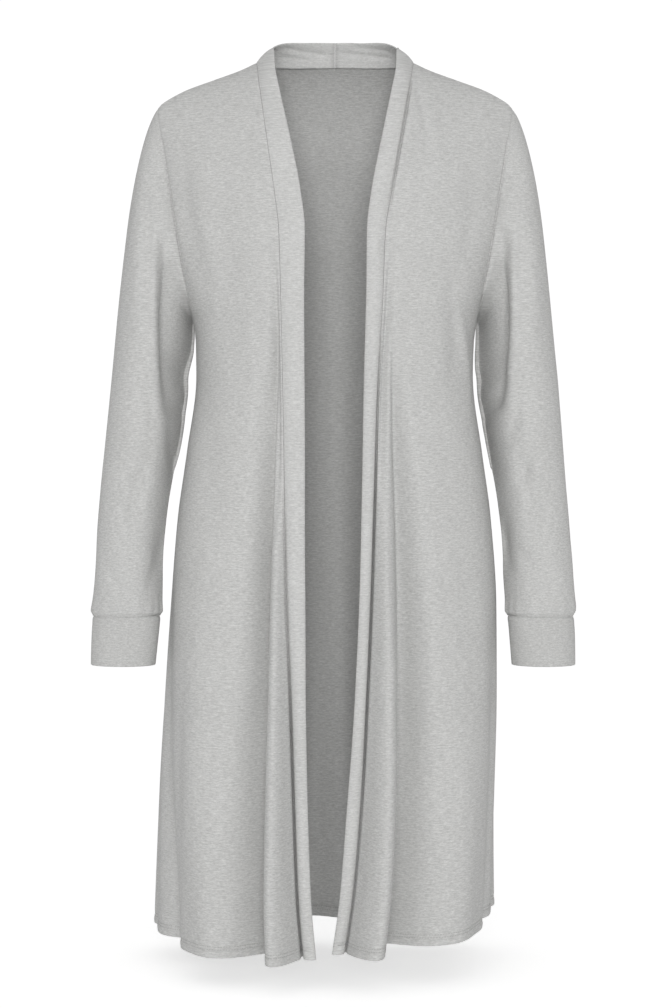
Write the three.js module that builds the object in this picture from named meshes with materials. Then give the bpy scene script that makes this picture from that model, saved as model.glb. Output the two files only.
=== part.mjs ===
// Long open-front cardigan in jersey knit, filled out as when worn, with nobody in it.
// Frame: millimetres, +Z up, +X to the wearer's left; the wearer faces -Y. The origin lies on
// the centre line, level with the points where the shoulder seams meet the neck band.
// Every piece of cloth is a closed wall: an outer surface, the same surface moved in by the
// cloth's thickness, and a rim. Neighbouring pieces stop short of each other by the seam gap.

import * as THREE from 'three';

// Cloth
const WALL = 1.6;
const BAND_WALL = 2.6;
const CUFF_WALL = 2.4;
const SEAM_GAP = 0.3;

// Cut of the body
const NECK_HALF_WIDTH = 87;
const NECK_LEVEL = -1;
const NECK_CENTRE_RAISE = 3;
const SHOULDER_HALF_WIDTH = 195;
const SHOULDER_LEVEL = -51;
const UNDERARM_HALF_WIDTH = 156;
const UNDERARM_LEVEL = -285;
const HEM_LEVEL = -961;
const HEM_RAISE_LEFT_SIDE = 20;
const HEM_RAISE_LEFT_EDGE = 5;
const FOLD_FREE_SIDE = 24;

// Height of the shoulder crest by distance from the centre line; within the neck it only
// shapes the cloth below
const SHOULDER_CREST = [
  { across: 0, level: 28 },
  { across: 40, level: 20 },
  { across: 65, level: 10 },
  { across: 87, level: -1 },
  { across: 104, level: -9 },
  { across: 134, level: -20 },
  { across: 164, level: -31 },
  { across: 183, level: -41 },
  { across: 191, level: -46.5 },
  { across: 195, level: -51 },
];

// How far below the crest the chest and the back reach their full depth
const CHEST_ROUNDING = { reach: 210, power: 0.62 };
const BACK_ROUNDING = { reach: 95, power: 0.5 };

// Neck and front band
const BAND_WIDTH = 31;
const BAND_FORWARD = -4;
const NECK_INSET = { shoulder: 18, centreBack: 2 };
const NECK_RISE = { shoulder: 16.5, centreBack: 27, pace: 1.6 };
const BAND_CROWN_SHARE = { front: 0.4, neck: 0.2 };
const FRONT_RISE_STARTS = -200;

// Grid steps
const ARMHOLE_ROWS = 13;
const SKIRT_ROWS = 14;
const BACK_COLUMNS = 32;
const BACK_NECK_COLUMNS = 10;
const BAND_COLUMNS = 3;
const FRONT_SIDE_COLUMNS = 8;
const FRONT_FOLD_COLUMNS = 16;
const FRONT_FOLD_SHARE = 0.32;
const SLEEVE_FIT_RINGS = 7;
const SLEEVE_FOLD_FREE_RINGS = 1;
const SLEEVE_FOLD_EASE_RINGS = 3;

// Body sections by drop below the origin: half widths on the wearer's right and left, depth
// of the chest and of the back from the side line, the side line's own place in Y, and the
// power of the rounded section, 2 being an ellipse
const BODY_SECTIONS = [
  { drop: 0, right: 206, left: 206, chest: 105, back: 84, side: 4, power: 2.2 },
  { drop: 50, right: 205, left: 205, chest: 105, back: 86, side: 4, power: 2.2 },
  { drop: 100, right: 200, left: 200, chest: 105, back: 87, side: 4, power: 2.2 },
  { drop: 150, right: 192, left: 192, chest: 106, back: 88, side: 4, power: 2.2 },
  { drop: 200, right: 181.5, left: 181.5, chest: 108, back: 87, side: 4, power: 2.25 },
  { drop: 240, right: 171, left: 171, chest: 110, back: 85, side: 5, power: 2.3 },
  { drop: 270, right: 161, left: 161, chest: 111, back: 82, side: 6, power: 2.35 },
  { drop: 285, right: 156, left: 156, chest: 111, back: 81, side: 6, power: 2.4 },
  { drop: 312, right: 153.4, left: 152.4, chest: 111, back: 79, side: 7, power: 2.5 },
  { drop: 345, right: 153, left: 151.5, chest: 110, back: 78, side: 9, power: 2.6 },
  { drop: 430, right: 163.5, left: 162, chest: 112, back: 77, side: 14, power: 2.7 },
  { drop: 500, right: 173.5, left: 171.5, chest: 116, back: 77, side: 20, power: 2.7 },
  { drop: 600, right: 182, left: 178.5, chest: 124, back: 76, side: 26, power: 2.7 },
  { drop: 700, right: 189, left: 179.5, chest: 135, back: 74, side: 32, power: 2.7 },
  { drop: 800, right: 194.5, left: 177.5, chest: 150, back: 68, side: 42, power: 2.65 },
  { drop: 900, right: 197, left: 174.5, chest: 172, back: 58, side: 52, power: 2.6 },
  { drop: 961, right: 198, left: 173, chest: 185, back: 52, side: 56, power: 2.6 },
];

// Where the band is sewn on and where its free edge hangs, out from the centre line
const FRONT_EDGES = [
  { drop: 1, seamRight: 87, edgeRight: 69, seamLeft: 87, edgeLeft: 70 },
  { drop: 27, seamRight: 83.3, edgeRight: 66.5, seamLeft: 82.7, edgeLeft: 67.6 },
  { drop: 48, seamRight: 80, edgeRight: 62, seamLeft: 79, edgeLeft: 63 },
  { drop: 105, seamRight: 71.5, edgeRight: 47.8, seamLeft: 69, edgeLeft: 49.8 },
  { drop: 150, seamRight: 65, edgeRight: 38, seamLeft: 61, edgeLeft: 40 },
  { drop: 193, seamRight: 60, edgeRight: 33, seamLeft: 54, edgeLeft: 34.5 },
  { drop: 268, seamRight: 58, edgeRight: 33.8, seamLeft: 51, edgeLeft: 33.8 },
  { drop: 373, seamRight: 56.3, edgeRight: 33.7, seamLeft: 46.3, edgeLeft: 31.6 },
  { drop: 479, seamRight: 54.8, edgeRight: 33.7, seamLeft: 43.2, edgeLeft: 30 },
  { drop: 584, seamRight: 52.7, edgeRight: 33.2, seamLeft: 40, edgeLeft: 27.4 },
  { drop: 689, seamRight: 48.5, edgeRight: 32.6, seamLeft: 35.7, edgeLeft: 23.1 },
  { drop: 794, seamRight: 45.2, edgeRight: 31, seamLeft: 30.5, edgeLeft: 15.8 },
  { drop: 899, seamRight: 41.3, edgeRight: 27.3, seamLeft: 21.5, edgeLeft: 7.4 },
  { drop: 961, seamRight: 36, edgeRight: 22, seamLeft: 12, edgeLeft: -2 },
];

// Hanging folds of the fronts. "away" is the distance from the band seam along the cloth, at
// the fold's top and at the hem; depth is outwards at the hem and grows from nothing at the
// top. "near" is the width towards the band, where it differs
const FRONT_FOLDS = {
  right: [
    { top: -250, away: [1, 0], width: [5, 6.5], depth: -13, power: 1 },
    { top: -430, away: [3, 21], width: [4, 15], depth: 34, power: 1.2 },
    { top: -300, away: [6, 39], near: [2, 5], width: [8, 27], depth: -42, power: 0.6 },
    { top: -450, away: [85, 100], width: [35, 32], depth: 12, power: 1.5 },
    { top: -500, away: [174, 198], width: [26, 27], depth: -30, power: 1.8 },
  ],
  left: [
    { top: -250, away: [1, 0], width: [5, 6.5], depth: -15, power: 1 },
    { top: -380, away: [6, 26], width: [5, 17], depth: 34, power: 1.1 },
    { top: -300, away: [12, 56], near: [3, 12], width: [6, 32], depth: -46, power: 0.7 },
    { top: -520, away: [120, 135], width: [28, 30], depth: 9, power: 1.5 },
    { top: -560, away: [150, 226], width: [14, 16], depth: -15, power: 1.4 },
  ],
};

// Hanging folds of the back, placed from the centre line, + to the wearer's left
const BACK_FOLDS = [
  { top: -600, across: [-186, -190], width: [14, 20], depth: 14, power: 1.5 },
  { top: -420, across: [-128, -138], width: [22, 24], depth: -12, power: 1.4 },
  { top: -380, across: [-78, -88], width: [20, 25], depth: 12, power: 1.4 },
  { top: -190, across: [-18, -22], width: [13, 15], depth: 5, power: 0.7 },
  { top: -190, across: [6, 8], width: [15, 17], depth: -7, power: 0.7 },
  { top: -190, across: [30, 36], width: [14, 16], depth: 6, power: 0.7 },
  { top: -400, across: [72, 78], width: [20, 24], depth: -12, power: 1.4 },
  { top: -460, across: [118, 122], width: [22, 24], depth: 11, power: 1.4 },
  { top: -600, across: [164, 168], width: [14, 20], depth: 16, power: 1.5 },
];

// Sleeve rings from the armhole to the wrist: the outer point, the inner point under the
// arm, half the depth in Y and the middle's place in Y
const SLEEVE_RINGS = [
  { outer: 195, outerDrop: 51, inner: 156, innerDrop: 285, depth: 60, middle: 5 },
  { outer: 200.5, outerDrop: 60, inner: 157.3, innerDrop: 281.6, depth: 61, middle: 5 },
  { outer: 207, outerDrop: 76, inner: 159.7, innerDrop: 281.8, depth: 61, middle: 4 },
  { outer: 214, outerDrop: 100, inner: 160.7, innerDrop: 285, depth: 61, middle: 3 },
  { outer: 221, outerDrop: 132, inner: 160.5, innerDrop: 289, depth: 61, middle: 2 },
  { outer: 227, outerDrop: 170, inner: 160, innerDrop: 295, depth: 60, middle: 1 },
  { outer: 232, outerDrop: 215, inner: 159.6, innerDrop: 304, depth: 59, middle: 0 },
  { outer: 237, outerDrop: 265, inner: 159.6, innerDrop: 318, depth: 58, middle: -1 },
  { outer: 242, outerDrop: 318, inner: 161, innerDrop: 342, depth: 55, middle: -3 },
  { outer: 247, outerDrop: 370, inner: 164.5, innerDrop: 378, depth: 50, middle: -6 },
  { outer: 252, outerDrop: 422, inner: 170.5, innerDrop: 422, depth: 45, middle: -9 },
  { outer: 256.5, outerDrop: 468, inner: 179.5, innerDrop: 466, depth: 41, middle: -12 },
  { outer: 260, outerDrop: 515, inner: 185, innerDrop: 512, depth: 37, middle: -15 },
  { outer: 261.3, outerDrop: 560, inner: 187.5, innerDrop: 558, depth: 34, middle: -18 },
  { outer: 264, outerDrop: 592, inner: 188, innerDrop: 592, depth: 32.5, middle: -20 },
  { outer: 266, outerDrop: 602, inner: 188, innerDrop: 602, depth: 32, middle: -20 },
];

// The wearer's left arm hangs closer: how much nearer its two edges lie, by drop
const LEFT_SLEEVE_LEAN = [
  { drop: 285, inner: 0, outer: 0 },
  { drop: 304, inner: 2, outer: 0 },
  { drop: 318, inner: 4, outer: 0 },
  { drop: 342, inner: 5.5, outer: 0 },
  { drop: 378, inner: 4, outer: 0.8 },
  { drop: 422, inner: 2.6, outer: 1.8 },
  { drop: 466, inner: 3.5, outer: 3 },
  { drop: 512, inner: 3.5, outer: 3.4 },
  { drop: 558, inner: 3.8, outer: 2 },
  { drop: 592, inner: 2.6, outer: 2.4 },
  { drop: 607, inner: 2.5, outer: 4 },
  { drop: 660, inner: 2.5, outer: 3.6 },
];

// Long soft folds of the sleeve: place round the ring (0 outer, 90 front, 180 inner, 270
// back), half width in degrees, depth outwards, and the stretch of sleeve from top to end
const SLEEVE_FOLDS = [
  { place: [108, 132], width: 16, depth: -9, top: -150, end: -400 },
  { place: [72, 84], width: 14, depth: -4, top: -140, end: -330 },
  { place: [112, 84], width: 14, depth: -5, top: -380, end: -560 },
  { place: [246, 232], width: 17, depth: -8, top: -170, end: -420 },
  { place: [262, 286], width: 15, depth: -5, top: -360, end: -560 },
];

// Hollows of the sleeve under the arm, where its front lies further back: place round the
// ring, half width in degrees, depth backwards, and the stretch of sleeve
const SLEEVE_HOLLOWS = [
  { place: 164, width: 30, depth: 40, top: -165, end: -480 },
  { place: 160, width: 26, depth: 14, top: -340, end: -640 },
];

// Cuff rings, from the sleeve down
const CUFF_RINGS = [
  { outer: 264.5, inner: 190.5, drop: 607, depth: 30, middle: -20 },
  { outer: 265.5, inner: 192.5, drop: 630, depth: 29.5, middle: -21 },
  { outer: 266, inner: 195.3, drop: 660, depth: 29, middle: -22 },
];

const COLOURS = {
  panel: 0xc1c1bf,
  sleeve: 0xc0c0be,
  band: 0xc7c7c5,
  cuff: 0xbbbbb9,
};

const mix = (a, b, t) => a + (b - a) * t;
const clamp01 = (t) => Math.min(1, Math.max(0, t));
const easeInOut = (t) => t * t * (3 - 2 * t);
const cosineStep = (t) => (1 - Math.cos(Math.PI * t)) / 2;
const bell = (t) => Math.exp(-t * t);
const vector = (x, y, z) => new THREE.Vector3(x, y, z);

// Smooth curve through one column of a table, without overshoot; place names the column
// that it runs along
function columnCurve(rows, place, column) {
  const count = rows.length;
  const grade = (i) =>
    (rows[i + 1][column] - rows[i][column]) / (rows[i + 1][place] - rows[i][place]);
  const slopes = rows.map((row, i) => {
    if (i === 0) return grade(0);
    if (i === count - 1) return grade(count - 2);
    const before = grade(i - 1);
    const after = grade(i);
    return before * after > 0 ? (2 * before * after) / (before + after) : 0;
  });
  return (at) => {
    const here = Math.min(Math.max(at, rows[0][place]), rows[count - 1][place]);
    let i = 0;
    while (i < count - 2 && here > rows[i + 1][place]) i += 1;
    const span = rows[i + 1][place] - rows[i][place];
    const t = (here - rows[i][place]) / span;
    const eased = easeInOut(t);
    const bend = t * (1 - t) * span;
    const straight = mix(rows[i][column], rows[i + 1][column], eased);
    return straight + bend * ((1 - t) * slopes[i] - t * slopes[i + 1]);
  };
}

function dropCurve(rows, column) {
  const curve = columnCurve(rows, 'drop', column);
  return (z) => curve(-z);
}

const halfWidthRight = dropCurve(BODY_SECTIONS, 'right');
const halfWidthLeft = dropCurve(BODY_SECTIONS, 'left');
const chestDepth = dropCurve(BODY_SECTIONS, 'chest');
const backDepth = dropCurve(BODY_SECTIONS, 'back');
const sideLine = dropCurve(BODY_SECTIONS, 'side');
const sectionPower = dropCurve(BODY_SECTIONS, 'power');
const crestCurve = columnCurve(SHOULDER_CREST, 'across', 'level');
const leanOfInner = dropCurve(LEFT_SLEEVE_LEAN, 'inner');
const leanOfOuter = dropCurve(LEFT_SLEEVE_LEAN, 'outer');
const edges = {
  right: {
    sign: -1,
    seam: dropCurve(FRONT_EDGES, 'seamRight'),
    edge: dropCurve(FRONT_EDGES, 'edgeRight'),
  },
  left: {
    sign: 1,
    seam: dropCurve(FRONT_EDGES, 'seamLeft'),
    edge: dropCurve(FRONT_EDGES, 'edgeLeft'),
  },
};

const halfWidth = (sign, z) => (sign < 0 ? halfWidthRight(z) : halfWidthLeft(z));

const crestHeight = (x) => crestCurve(Math.abs(x));

// Half width of the body at the armhole seam, a straight line as seen from the front
function armholeHalfWidth(z) {
  const t = (SHOULDER_LEVEL - z) / (SHOULDER_LEVEL - UNDERARM_LEVEL);
  return mix(SHOULDER_HALF_WIDTH, UNDERARM_HALF_WIDTH, t);
}

// Smooth body surface: facing -1 is the chest and +1 the back. push moves the point out of
// the surface, level, by a fold's depth
function bodyPoint(facing, x, z, push) {
  const sign = x < 0 ? -1 : 1;
  const half = halfWidth(sign, z);
  const depth = facing < 0 ? chestDepth(z) : backDepth(z);
  const rounding = facing < 0 ? CHEST_ROUNDING : BACK_ROUNDING;
  const below = clamp01((crestHeight(x) - z) / rounding.reach);
  const over = (1 - (1 - below) ** 2) ** rounding.power;
  const power = sectionPower(z);
  const outward = clamp01(Math.abs(x) / half) ** power;
  const around = Math.max(0, 1 - outward) ** (1 / power);
  const y = facing * depth * around * over;
  const normal = new THREE.Vector2(x / half ** 2, y / depth ** 2).normalize();
  return vector(x + push * normal.x, sideLine(z) + y + push * normal.y, z);
}

// Strength of a fold between its top and the hem
function foldGrowth(fold, z) {
  return clamp01((fold.top - z) / (fold.top - HEM_LEVEL));
}

function foldPush(fold, distance, z) {
  const growth = foldGrowth(fold, z);
  const widths = distance < 0 && fold.near ? fold.near : fold.width;
  const width = mix(widths[0], widths[1], growth);
  return fold.depth * growth ** fold.power * bell(distance / width);
}

// Columns of the fronts: wide steps over the side, finer ones over the folds by the band
function frontColumnShares() {
  const shares = [];
  for (let i = 0; i < FRONT_SIDE_COLUMNS; i += 1) {
    shares.push(((1 - FRONT_FOLD_SHARE) * i) / FRONT_SIDE_COLUMNS);
  }
  for (let i = 0; i <= FRONT_FOLD_COLUMNS; i += 1) {
    shares.push(1 - FRONT_FOLD_SHARE + (FRONT_FOLD_SHARE * i) / FRONT_FOLD_COLUMNS);
  }
  return shares;
}

// One front: rows run from the armhole or the side seam to the band seam
function frontGrid(side) {
  const { sign, seam } = edges[side];
  const folds = FRONT_FOLDS[side];
  const shares = frontColumnShares();
  const grid = [];
  const addRow = (half, outerX, innerX, levelAt, isShoulder) => {
    const start = Math.acos(clamp01(outerX / half));
    const end = Math.acos(innerX / half);
    grid.push(shares.map((share, column) => {
      const angle = mix(start, end, share);
      const z = levelAt(column, share);
      const x = share === 0 ? outerX : half * Math.cos(angle);
      const radius = (half + chestDepth(z)) / 2;
      const fromSeam = (end - angle) * radius;
      const fromSide = angle * radius;
      let push = 0;
      for (const fold of folds) {
        const away = mix(fold.away[0], fold.away[1], foldGrowth(fold, z));
        push += foldPush(fold, fromSeam - away, z);
      }
      const point = bodyPoint(-1, sign * x, z, push * easeInOut(clamp01(fromSide / FOLD_FREE_SIDE)));
      if (isShoulder) point.y -= SEAM_GAP / 2;
      return point;
    }));
  };
  const crest = shares.map((share) => {
    const half = halfWidth(sign, SHOULDER_LEVEL);
    const start = Math.acos(SHOULDER_HALF_WIDTH / half);
    const end = Math.acos(NECK_HALF_WIDTH / half);
    return crestHeight(half * Math.cos(mix(start, end, share)));
  });
  for (let row = 0; row <= ARMHOLE_ROWS; row += 1) {
    const t = cosineStep(row / ARMHOLE_ROWS);
    const outerZ = mix(SHOULDER_LEVEL, UNDERARM_LEVEL, t);
    const innerZ = mix(NECK_LEVEL, UNDERARM_LEVEL, t);
    const levelAt = (column) => mix(crest[column], UNDERARM_LEVEL, t);
    addRow(halfWidth(sign, outerZ), armholeHalfWidth(outerZ), seam(innerZ), levelAt, row === 0);
  }
  const hemRaise = sign > 0 ? [HEM_RAISE_LEFT_SIDE, HEM_RAISE_LEFT_EDGE] : [0, 0];
  for (let row = 1; row <= SKIRT_ROWS; row += 1) {
    const t = row / SKIRT_ROWS;
    const z = mix(UNDERARM_LEVEL, HEM_LEVEL, t);
    const levelAt = (column, share) => z + t * mix(hemRaise[0], hemRaise[1], share);
    const half = halfWidth(sign, z + t * hemRaise[0]);
    addRow(half, half, seam(z), levelAt, false);
  }
  grid.slice(ARMHOLE_ROWS).forEach((row) => {
    row[0].y -= SEAM_GAP / 2;
  });
  return grid;
}

// The back: rows run from the wearer's right to the left
function backGrid() {
  const topHalf = halfWidth(1, SHOULDER_LEVEL);
  const shoulderAngle = Math.acos(SHOULDER_HALF_WIDTH / topHalf);
  const neckAngle = Math.acos(NECK_HALF_WIDTH / topHalf);
  const shoulderColumns = (BACK_COLUMNS - BACK_NECK_COLUMNS) / 2;
  const topAngles = [];
  for (let i = 0; i < shoulderColumns; i += 1) {
    topAngles.push(mix(shoulderAngle, neckAngle, i / shoulderColumns));
  }
  for (let i = 0; i <= BACK_NECK_COLUMNS; i += 1) {
    const neckX = NECK_HALF_WIDTH * Math.cos((Math.PI * i) / BACK_NECK_COLUMNS);
    topAngles.push(Math.acos(neckX / topHalf));
  }
  for (let i = shoulderColumns - 1; i >= 0; i -= 1) {
    topAngles.push(Math.PI - mix(shoulderAngle, neckAngle, i / shoulderColumns));
  }
  const topHeights = topAngles.map((angle) => {
    const x = topHalf * Math.cos(angle);
    const raise = NECK_CENTRE_RAISE * Math.cos((Math.PI * x) / (2 * NECK_HALF_WIDTH)) ** 2;
    return Math.abs(x) < NECK_HALF_WIDTH ? NECK_LEVEL + raise : crestHeight(x);
  });
  const backPoint = (angle, x, z) => {
    const sign = x < 0 ? -1 : 1;
    const half = halfWidth(sign, z);
    const radius = (half + backDepth(z)) / 2;
    const fromSide = Math.min(angle, Math.PI - angle) * radius;
    let push = 0;
    for (const fold of BACK_FOLDS) {
      const across = mix(fold.across[0], fold.across[1], foldGrowth(fold, z));
      push += foldPush(fold, x - across, z);
    }
    return bodyPoint(1, x, z, push * easeInOut(clamp01(fromSide / FOLD_FREE_SIDE)));
  };
  const grid = [];
  for (let row = 0; row <= ARMHOLE_ROWS; row += 1) {
    const t = cosineStep(row / ARMHOLE_ROWS);
    const outerZ = mix(SHOULDER_LEVEL, UNDERARM_LEVEL, t);
    const half = halfWidth(1, outerZ);
    const edgeX = armholeHalfWidth(outerZ);
    const start = Math.acos(clamp01(edgeX / half));
    grid.push(topAngles.map((topAngle, column) => {
      const even = mix(start, Math.PI - start, column / BACK_COLUMNS);
      const stretched = mix(
        start,
        Math.PI - start,
        (topAngle - shoulderAngle) / (Math.PI - 2 * shoulderAngle),
      );
      const angle = mix(stretched, even, t);
      const z = mix(topHeights[column], UNDERARM_LEVEL, t);
      let x = -half * Math.cos(angle);
      if (column === 0) x = -edgeX;
      if (column === BACK_COLUMNS) x = edgeX;
      const point = backPoint(angle, x, z);
      if (row === 0 && Math.abs(x) > NECK_HALF_WIDTH - SEAM_GAP) point.y += SEAM_GAP / 2;
      return point;
    }));
  }
  for (let row = 1; row <= SKIRT_ROWS; row += 1) {
    const t = row / SKIRT_ROWS;
    const level = mix(UNDERARM_LEVEL, HEM_LEVEL, t);
    const points = [];
    for (let column = 0; column <= BACK_COLUMNS; column += 1) {
      const angle = (Math.PI * column) / BACK_COLUMNS;
      const turn = -Math.cos(angle);
      const z = level + t * HEM_RAISE_LEFT_SIDE * Math.max(0, turn) ** 2;
      const x = halfWidth(turn < 0 ? -1 : 1, z) * turn;
      points.push(backPoint(angle, x, z));
    }
    grid.push(points);
  }
  grid.slice(ARMHOLE_ROWS).forEach((row) => {
    row[0].y += SEAM_GAP / 2;
    row[BACK_COLUMNS].y += SEAM_GAP / 2;
  });
  return grid;
}

// Unit normals of a grid, out of the garment when outside is +1 or turned over when it is -1
function gridNormals(grid, closed, outside) {
  const lastRow = grid.length - 1;
  const columns = grid[0].length;
  return grid.map((row, r) => row.map((point, c) => {
    const wrap = (i) => (closed ? (i + columns) % columns : Math.min(Math.max(i, 0), columns - 1));
    const along = row[wrap(c + 1)].clone().sub(row[wrap(c - 1)]);
    const down = grid[Math.min(r + 1, lastRow)][c].clone().sub(grid[Math.max(r - 1, 0)][c]);
    return along.cross(down).multiplyScalar(outside).normalize();
  }));
}

// Closed wall from an outer grid and its normals
function wallGeometry(grid, normals, thickness, closed, outside) {
  const rows = grid.length;
  const columns = grid[0].length;
  const outer = grid.flat();
  const inward = normals.flat();
  const inner = outer.map((point, i) => point.clone().addScaledVector(inward[i], -thickness));
  const positions = [...outer, ...inner].flatMap((point) => point.toArray());
  const shift = outer.length;
  const index = (r, c) => r * columns + (c % columns);
  const triangles = [];
  const addTriangle = (a, b, c) => triangles.push(...(outside > 0 ? [a, b, c] : [a, c, b]));
  const addQuad = (a, b, c, d) => {
    addTriangle(a, b, c);
    addTriangle(a, c, d);
  };
  const columnSteps = closed ? columns : columns - 1;
  for (let r = 0; r < rows - 1; r += 1) {
    for (let c = 0; c < columnSteps; c += 1) {
      const [a, b] = [index(r, c), index(r, c + 1)];
      const [d, e] = [index(r + 1, c), index(r + 1, c + 1)];
      addQuad(a, b, e, d);
      addQuad(a + shift, d + shift, e + shift, b + shift);
    }
  }
  for (let c = 0; c < columnSteps; c += 1) {
    const [a, b] = [index(0, c), index(0, c + 1)];
    addQuad(a, a + shift, b + shift, b);
    const [d, e] = [index(rows - 1, c), index(rows - 1, c + 1)];
    addQuad(d, e, e + shift, d + shift);
  }
  if (!closed) {
    for (let r = 0; r < rows - 1; r += 1) {
      const [a, b] = [index(r, 0), index(r + 1, 0)];
      addQuad(a, b, b + shift, a + shift);
      const [d, e] = [index(r, columns - 1), index(r + 1, columns - 1)];
      addQuad(d, d + shift, e + shift, e);
    }
  }
  const geometry = new THREE.BufferGeometry();
  geometry.setAttribute('position', new THREE.Float32BufferAttribute(positions, 3));
  geometry.setIndex(triangles);
  return geometry;
}

function flattenNormal(normal, axis) {
  normal[axis] = 0;
  normal.normalize();
}

// A grid's edge as the seam sees it: its points, the cloth's normals there and the direction
// that leads off the cloth
function seamFrames(grid, normals, cells) {
  return cells.map(([r, c, inwardRow, inwardColumn], i) => {
    const point = grid[r][c];
    const [pr, pc] = cells[Math.max(i - 1, 0)];
    const [nr, nc] = cells[Math.min(i + 1, cells.length - 1)];
    const along = grid[nr][nc].clone().sub(grid[pr][pc]).normalize();
    const normal = normals[r][c];
    const off = along.clone().cross(normal).normalize();
    const inside = grid[r + inwardRow][c + inwardColumn].clone().sub(point);
    if (off.dot(inside) > 0) off.negate();
    return { point, normal, off };
  });
}

function averageFrames(a, b) {
  return {
    point: a.point.clone().add(b.point).multiplyScalar(0.5),
    normal: a.normal.clone().add(b.normal).normalize(),
    off: a.off.clone().add(b.off).normalize(),
  };
}

// Builds the three body panels, with normals that agree along the seams they share
function bodyPanels() {
  const panels = {
    front_right: { grid: frontGrid('right'), outside: -1 },
    front_left: { grid: frontGrid('left'), outside: 1 },
    back: { grid: backGrid(), outside: 1 },
  };
  for (const panel of Object.values(panels)) {
    panel.normals = gridNormals(panel.grid, false, panel.outside);
    const lastColumn = panel.grid[0].length - 1;
    const sideColumns = panel === panels.back ? [0, lastColumn] : [0];
    panel.normals.slice(ARMHOLE_ROWS).forEach((row) => {
      sideColumns.forEach((column) => flattenNormal(row[column], 'y'));
    });
    panel.grid[0].forEach((point, column) => {
      const onShoulder = Math.abs(point.x) > NECK_HALF_WIDTH - SEAM_GAP;
      if (onShoulder) flattenNormal(panel.normals[0][column], 'y');
    });
  }
  return panels;
}

// Neck and front band of one side, from the hem up the front and round to the centre back
function bandGrid(side, panels) {
  const { sign, seam, edge } = edges[side];
  const front = panels[`front_${side}`];
  const lastRow = front.grid.length - 1;
  const frontColumn = front.grid[0].length - 1;
  const frontCells = front.grid.map((row, i) => [lastRow - i, frontColumn, 0, -1]);
  const frontFrames = seamFrames(front.grid, front.normals, frontCells);
  const centre = BACK_COLUMNS / 2;
  const neckCells = [];
  for (let i = 0; i <= BACK_NECK_COLUMNS / 2; i += 1) {
    neckCells.push([0, centre + sign * (BACK_NECK_COLUMNS / 2 - i), 1, 0]);
  }
  const neckFrames = seamFrames(panels.back.grid, panels.back.normals, neckCells);
  const corner = averageFrames(frontFrames[lastRow], neckFrames[0]);
  const frames = [...frontFrames.slice(0, lastRow), corner, ...neckFrames.slice(1)];
  const neckSteps = neckFrames.length - 1;
  const grid = frames.map((frame, i) => {
    const start = frame.point.clone().addScaledVector(frame.off, SEAM_GAP);
    const end = start.clone();
    const z = frame.point.z;
    const rise = easeInOut(clamp01((z - FRONT_RISE_STARTS) / (NECK_LEVEL - FRONT_RISE_STARTS)));
    if (i <= lastRow) {
      end.x -= sign * (seam(z) - edge(z));
      end.y += BAND_FORWARD * (1 - rise);
      end.z += NECK_RISE.shoulder * rise;
    } else {
      const t = (i - lastRow) / neckSteps;
      const inset = mix(NECK_INSET.shoulder, NECK_INSET.centreBack, cosineStep(t));
      const inward = vector(-frame.normal.x, -frame.normal.y, 0).normalize();
      const climb = easeInOut(clamp01(NECK_RISE.pace * t));
      end.addScaledVector(inward, inset);
      end.z += mix(NECK_RISE.shoulder, NECK_RISE.centreBack, climb);
    }
    const next = frames[Math.min(i + 1, frames.length - 1)].point;
    const previous = frames[Math.max(i - 1, 0)].point;
    const chord = end.clone().sub(start);
    const outward = next.clone().sub(previous).cross(chord).normalize();
    if (outward.dot(frame.normal) < 0) outward.negate();
    const length = chord.length();
    const crownShare = mix(BAND_CROWN_SHARE.front, BAND_CROWN_SHARE.neck, rise);
    const crown = crownShare * Math.sqrt(Math.max(0, (3 * length * (BAND_WIDTH - length)) / 8));
    const points = [];
    for (let column = 0; column <= BAND_COLUMNS; column += 1) {
      const t = column / BAND_COLUMNS;
      const lift = 4 * crown * t * (1 - t);
      points.push(start.clone().addScaledVector(chord, t).addScaledVector(outward, lift));
    }
    return points;
  });
  const last = grid[grid.length - 1];
  last.forEach((point) => {
    point.x = (sign * SEAM_GAP) / 2;
  });
  return { grid, frames };
}

function bandGeometry(side, panels) {
  const { grid, frames } = bandGrid(side, panels);
  const outside = side === 'right' ? 1 : -1;
  const normals = gridNormals(grid, false, outside);
  normals.forEach((row, i) => row[0].copy(frames[i].normal));
  normals[normals.length - 1].forEach((normal) => flattenNormal(normal, 'x'));
  return wallGeometry(grid, normals, BAND_WALL, false, outside);
}

// Armhole of one side as a closed loop of seam frames: down the front and up the back
function armholeFrames(sign, panels) {
  const front = sign < 0 ? panels.front_right : panels.front_left;
  const backColumn = sign < 0 ? 0 : BACK_COLUMNS;
  const cells = (column, inward) => {
    const list = [];
    for (let row = 0; row <= ARMHOLE_ROWS; row += 1) list.push([row, column, 0, inward]);
    return list;
  };
  const frontFrames = seamFrames(front.grid, front.normals, cells(0, 1));
  const back = panels.back;
  const backFrames = seamFrames(back.grid, back.normals, cells(backColumn, sign < 0 ? 1 : -1));
  const loop = frontFrames.map((frame, i) => (
    i === 0 || i === ARMHOLE_ROWS ? averageFrames(frame, backFrames[i]) : frame
  ));
  for (let row = ARMHOLE_ROWS - 1; row > 0; row -= 1) loop.push(backFrames[row]);
  loop[ARMHOLE_ROWS].off.set(0, 0, 1);
  return loop;
}

// A point of a sleeve ring. turn goes once round: 0 outer, then front, inner and back
function ringPoint(sign, ring, turn) {
  const towardsOuter = (1 + Math.cos(turn)) / 2;
  const x = mix(ring.inner, ring.outer, towardsOuter);
  const z = -mix(ring.innerDrop, ring.outerDrop, towardsOuter);
  const lean = sign > 0 ? mix(leanOfInner(z), leanOfOuter(z), towardsOuter) : 0;
  return vector(sign * (x - lean), ring.middle - ring.depth * Math.sin(turn), z);
}

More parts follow.
